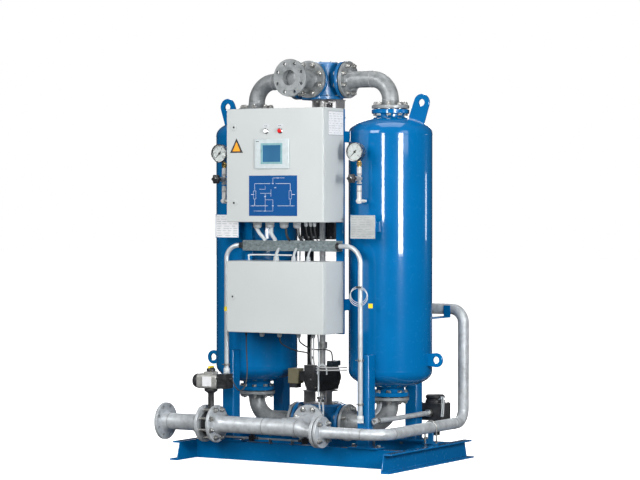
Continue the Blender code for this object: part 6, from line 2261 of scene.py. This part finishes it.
def actuator_tubes():
    """Air tubes between the pilot valves, the changeover actuator and the power box."""
    pale = Shape()
    front = -0.136
    ways = (
        ((-0.130, 0.010, 1.196), (-0.120, -0.040, 1.100), (-0.060, -0.100, 0.900), (0.040, -0.125, 0.700),
         (0.056, front, 0.560), (0.056, front, 0.450), (0.056, front, 0.352)),
        ((0.056, front - 0.009, 0.470), (0.058, front - 0.009, 0.505), (0.084, front - 0.009, 0.524),
         (0.110, front - 0.009, 0.505), (0.113, front - 0.009, 0.470)),
        ((0.060, front, 0.322), (0.064, front, 0.290), (0.064, front, 0.232)),
        ((0.082, front, 0.322), (0.086, front, 0.290), (0.086, front, 0.232)),
    )
    for way in ways:
        pale.tube(smooth_route(way, 10), 0.0042, 14)
    pale.finish("pilot_tubes", "tube")
    black = Shape()
    ways = (
        ((-0.060, -0.345, POWER_LOW - 0.020), (-0.055, -0.330, 0.640), (-0.040, -0.220, 0.600),
         (-0.030, -0.110, 0.580), (-0.026, -0.060, 0.550), (-0.024, -0.048, ACTUATOR_SHOULDER + 0.003)),
        ((0.060, -0.345, POWER_LOW - 0.018), (0.066, -0.335, 0.650), (0.075, -0.230, 0.610),
         (0.060, -0.080, 0.600), (0.036, 0.030, 0.580), (0.030, 0.056, ACTUATOR_HIGH + 0.004)),
    )
    for way in ways:
        black.tube(smooth_route(way, 8), 0.0036, 14)
    black.finish("actuator_leads", "rubber")
    rigid = Shape()
    for x in (0.137, 0.152):
        drop = ((x, -0.345, POWER_LOW - 0.018), (x, -0.345, 0.600), (x, -0.344, 0.560), (x, -0.336, 0.532))
        rigid.tube(smooth_route(drop, 6), 0.0040, 14)
    for z in (0.522, 0.508):
        across = ((0.110, -0.330, z), (0.160, -0.330, z), (0.220, -0.320, z), (0.300, -0.250, z))
        rigid.tube(smooth_route(across, 6), 0.0038, 14)
    rigid.finish("power_box_tubes", "dull_steel")
    Shape().block(
        (0.095, -0.350, 0.494), (0.158, -0.318, 0.534),
    ).finish("tube_manifold", "black", bevel=0.002)
    fittings = Shape()
    for x in (0.060, 0.082):
        fittings.hexagon((x, front, 0.322), Z_AXIS, 0.013, 0.012)
        fittings.rod((x, front, 0.334), (x, front, 0.350), 0.0058, 20, 0.0008)
    fittings.rod((0.046, front, 0.342), (0.096, front, 0.342), 0.0062, 20, 0.0008)
    fittings.finish("actuator_fittings", "steel")


def pilot_solenoid():
    """The solenoid valve beside the changeover actuator, in its olive-grey housing."""
    Shape().block((-0.166, -0.090, 0.410), (-0.100, -0.030, 0.492)).finish(
        "pilot_solenoid", "olive", bevel=0.003, segments=3,
    )
    link = Shape()
    link.block((-0.101, -0.078, 0.425), (-0.049, -0.042, 0.478))
    link.block((-0.160, -0.084, 0.386), (-0.112, -0.036, 0.4095))
    link.finish("pilot_solenoid_link", "black", bevel=0.003, segments=3)


# ---- floor and light --------------------------------------------------------------------------

FLOOR_GLOW = 0.85
FLOOR_REACH = 40.0

# Name, place, target, width, height and power
SOFT_LIGHTS = (
    ("key", (-1.6, -7.0, 4.4), (0, 0, 1.0), 3.4, 2.6, 275),
    ("right_fill", (5.8, -2.2, 3.0), (0, 0, 1.0), 2.2, 2.6, 60),
    ("top", (0.3, 0.2, 5.2), (0, 0, 1.0), 2.6, 2.2, 45),
    ("back", (-2.5, 5.5, 3.6), (0, 0, 1.1), 2.6, 2.4, 110),
)

# Name, azimuth in degrees, distance, width, height, level and power
STRIP_LIGHTS = (
    ("streak_main", 56.8, 4.2, 0.90, 1.13, 1.600, 130),
    ("streak_front", 9.6, 4.6, 0.50, 0.90, 1.710, 55),
    ("streak_rim", 142.0, 4.0, 0.40, 0.46, 1.357, 5),
)

# Brightness at the horizon and at the zenith: the light that falls on the machine, what its gloss mirrors,
# and what the camera sees
DOME = (0.30, 0.62)
WALLS = (0.02, 0.14)
BACKDROP = (1.0, 1.0)


def make_floor():
    """A wide white floor that catches the shadow and stays out of the machine's own light."""
    mesh = bpy.data.meshes.new("floor")
    corners = [(x * FLOOR_REACH, y * FLOOR_REACH, 0) for x, y in ((-1, -1), (1, -1), (1, 1), (-1, 1))]
    mesh.from_pydata(corners, [], [(0, 1, 2, 3)])
    floor = bpy.data.objects.new("floor", mesh)
    bpy.context.collection.objects.link(floor)
    made = Finish("studio_floor", (0.86, 0.86, 0.865), 0.0, 0.75)
    made.shader.inputs["Emission Color"].default_value = (1, 1, 1, 1)
    made.shader.inputs["Emission Strength"].default_value = FLOOR_GLOW
    made.paint(made.noise(0.8, 2), [(0.3, (0.855, 0.855, 0.860)), (0.7, (0.870, 0.870, 0.872))])
    mesh.materials.append(made.material)
    floor.visible_diffuse = False
    floor.visible_glossy = False


def background(nodes, links, ramp_from, lowest, highest):
    """A background that rises from the horizon to the zenith."""
    ramp = nodes.new("ShaderNodeValToRGB")
    for element, (position, value) in zip(ramp.color_ramp.elements, ((0.0, lowest), (1.0, highest))):
        element.position = position
        element.color = (value, value, value, 1)
    links.new(ramp_from, ramp.inputs["Fac"])
    made = nodes.new("ShaderNodeBackground")
    links.new(ramp.outputs["Color"], made.inputs["Color"])
    return made.outputs[0]


def make_world():
    """A white studio backdrop, a soft dome of light, and darker walls for the gloss to pick up."""
    world = bpy.data.worlds.new("studio")
    bpy.context.scene.world = world
    world.use_nodes = True
    nodes = world.node_tree.nodes
    links = world.node_tree.links
    nodes.clear()
    path = nodes.new("ShaderNodeLightPath")
    place = nodes.new("ShaderNodeTexCoord")
    split = nodes.new("ShaderNodeSeparateXYZ")
    links.new(place.outputs["Generated"], split.inputs[0])
    height = split.outputs["Z"]
    layers = (("Is Glossy Ray", WALLS), ("Is Camera Ray", BACKDROP))
    shown = background(nodes, links, height, *DOME)
    for ray, (lowest, highest) in layers:
        mix = nodes.new("ShaderNodeMixShader")
        links.new(path.outputs[ray], mix.inputs["Fac"])
        links.new(shown, mix.inputs[1])
        links.new(background(nodes, links, height, lowest, highest), mix.inputs[2])
        shown = mix.outputs[0]
    out = nodes.new("ShaderNodeOutputWorld")
    links.new(shown, out.inputs["Surface"])


def area_light(name, place, target, width, height, power):
    """A rectangular light at place that points at target."""
    data = bpy.data.lights.new(name, "AREA")
    data.shape = "RECTANGLE"
    data.size = width
    data.size_y = height
    data.energy = power
    obj = bpy.data.objects.new(name, data)
    bpy.context.collection.objects.link(obj)
    obj.location = place
    obj.rotation_euler = (Vector(target) - Vector(place)).to_track_quat("-Z", "Y").to_euler()


def strip_light(name, azimuth, distance, width, height, level, power):
    """A tall strip at an azimuth turned from the front towards the right, about the right tower."""
    turn = math.radians(azimuth)
    middle_of = Vector((TOWER_X, 0, 0)) + ORIGIN
    place = middle_of + Vector((math.sin(turn), -math.cos(turn), 0)) * distance
    area_light(name, (place.x, place.y, level), (middle_of.x, middle_of.y, level), width, height, power)


def make_lights():
    """The studio's soft lights, and three tall strips that draw the streaks on the towers."""
    bpy.context.scene.view_settings.view_transform = "Standard"
    make_world()
    for light in SOFT_LIGHTS:
        area_light(*light)
    for light in STRIP_LIGHTS:
        strip_light(*light)


def build():
    make_camera()
    make_cable()
    cable_glands()
    make_skid()
    make_legs()
    make_towers()
    make_elbows()
    make_spools()
    make_manifold()
    make_dn50_lines()
    make_cooler()
    make_return_pipe()
    make_vent()
    make_drain_valve()
    flange_bolting()
    top_valve()
    bottom_valve()
    make_rotors()
    changeover_actuator()
    make_butterfly()
    inlet_actuator()
    make_indicator()
    make_control_air()
    make_posts()
    make_conduits()
    make_shells()
    make_locks()
    make_buttons()
    make_panel()
    make_diagram()
    make_door_plates()
    make_cabinet_inside()
    make_power_box_inside()
    make_underside()
    make_gauge("left")
    make_gauge("right")
    name_plates()
    front_air_line()
    beam_clamp()
    riser_bracket()
    cable_coil()
    actuator_tubes()
    pilot_solenoid()
    make_floor()
    make_lights()


build()
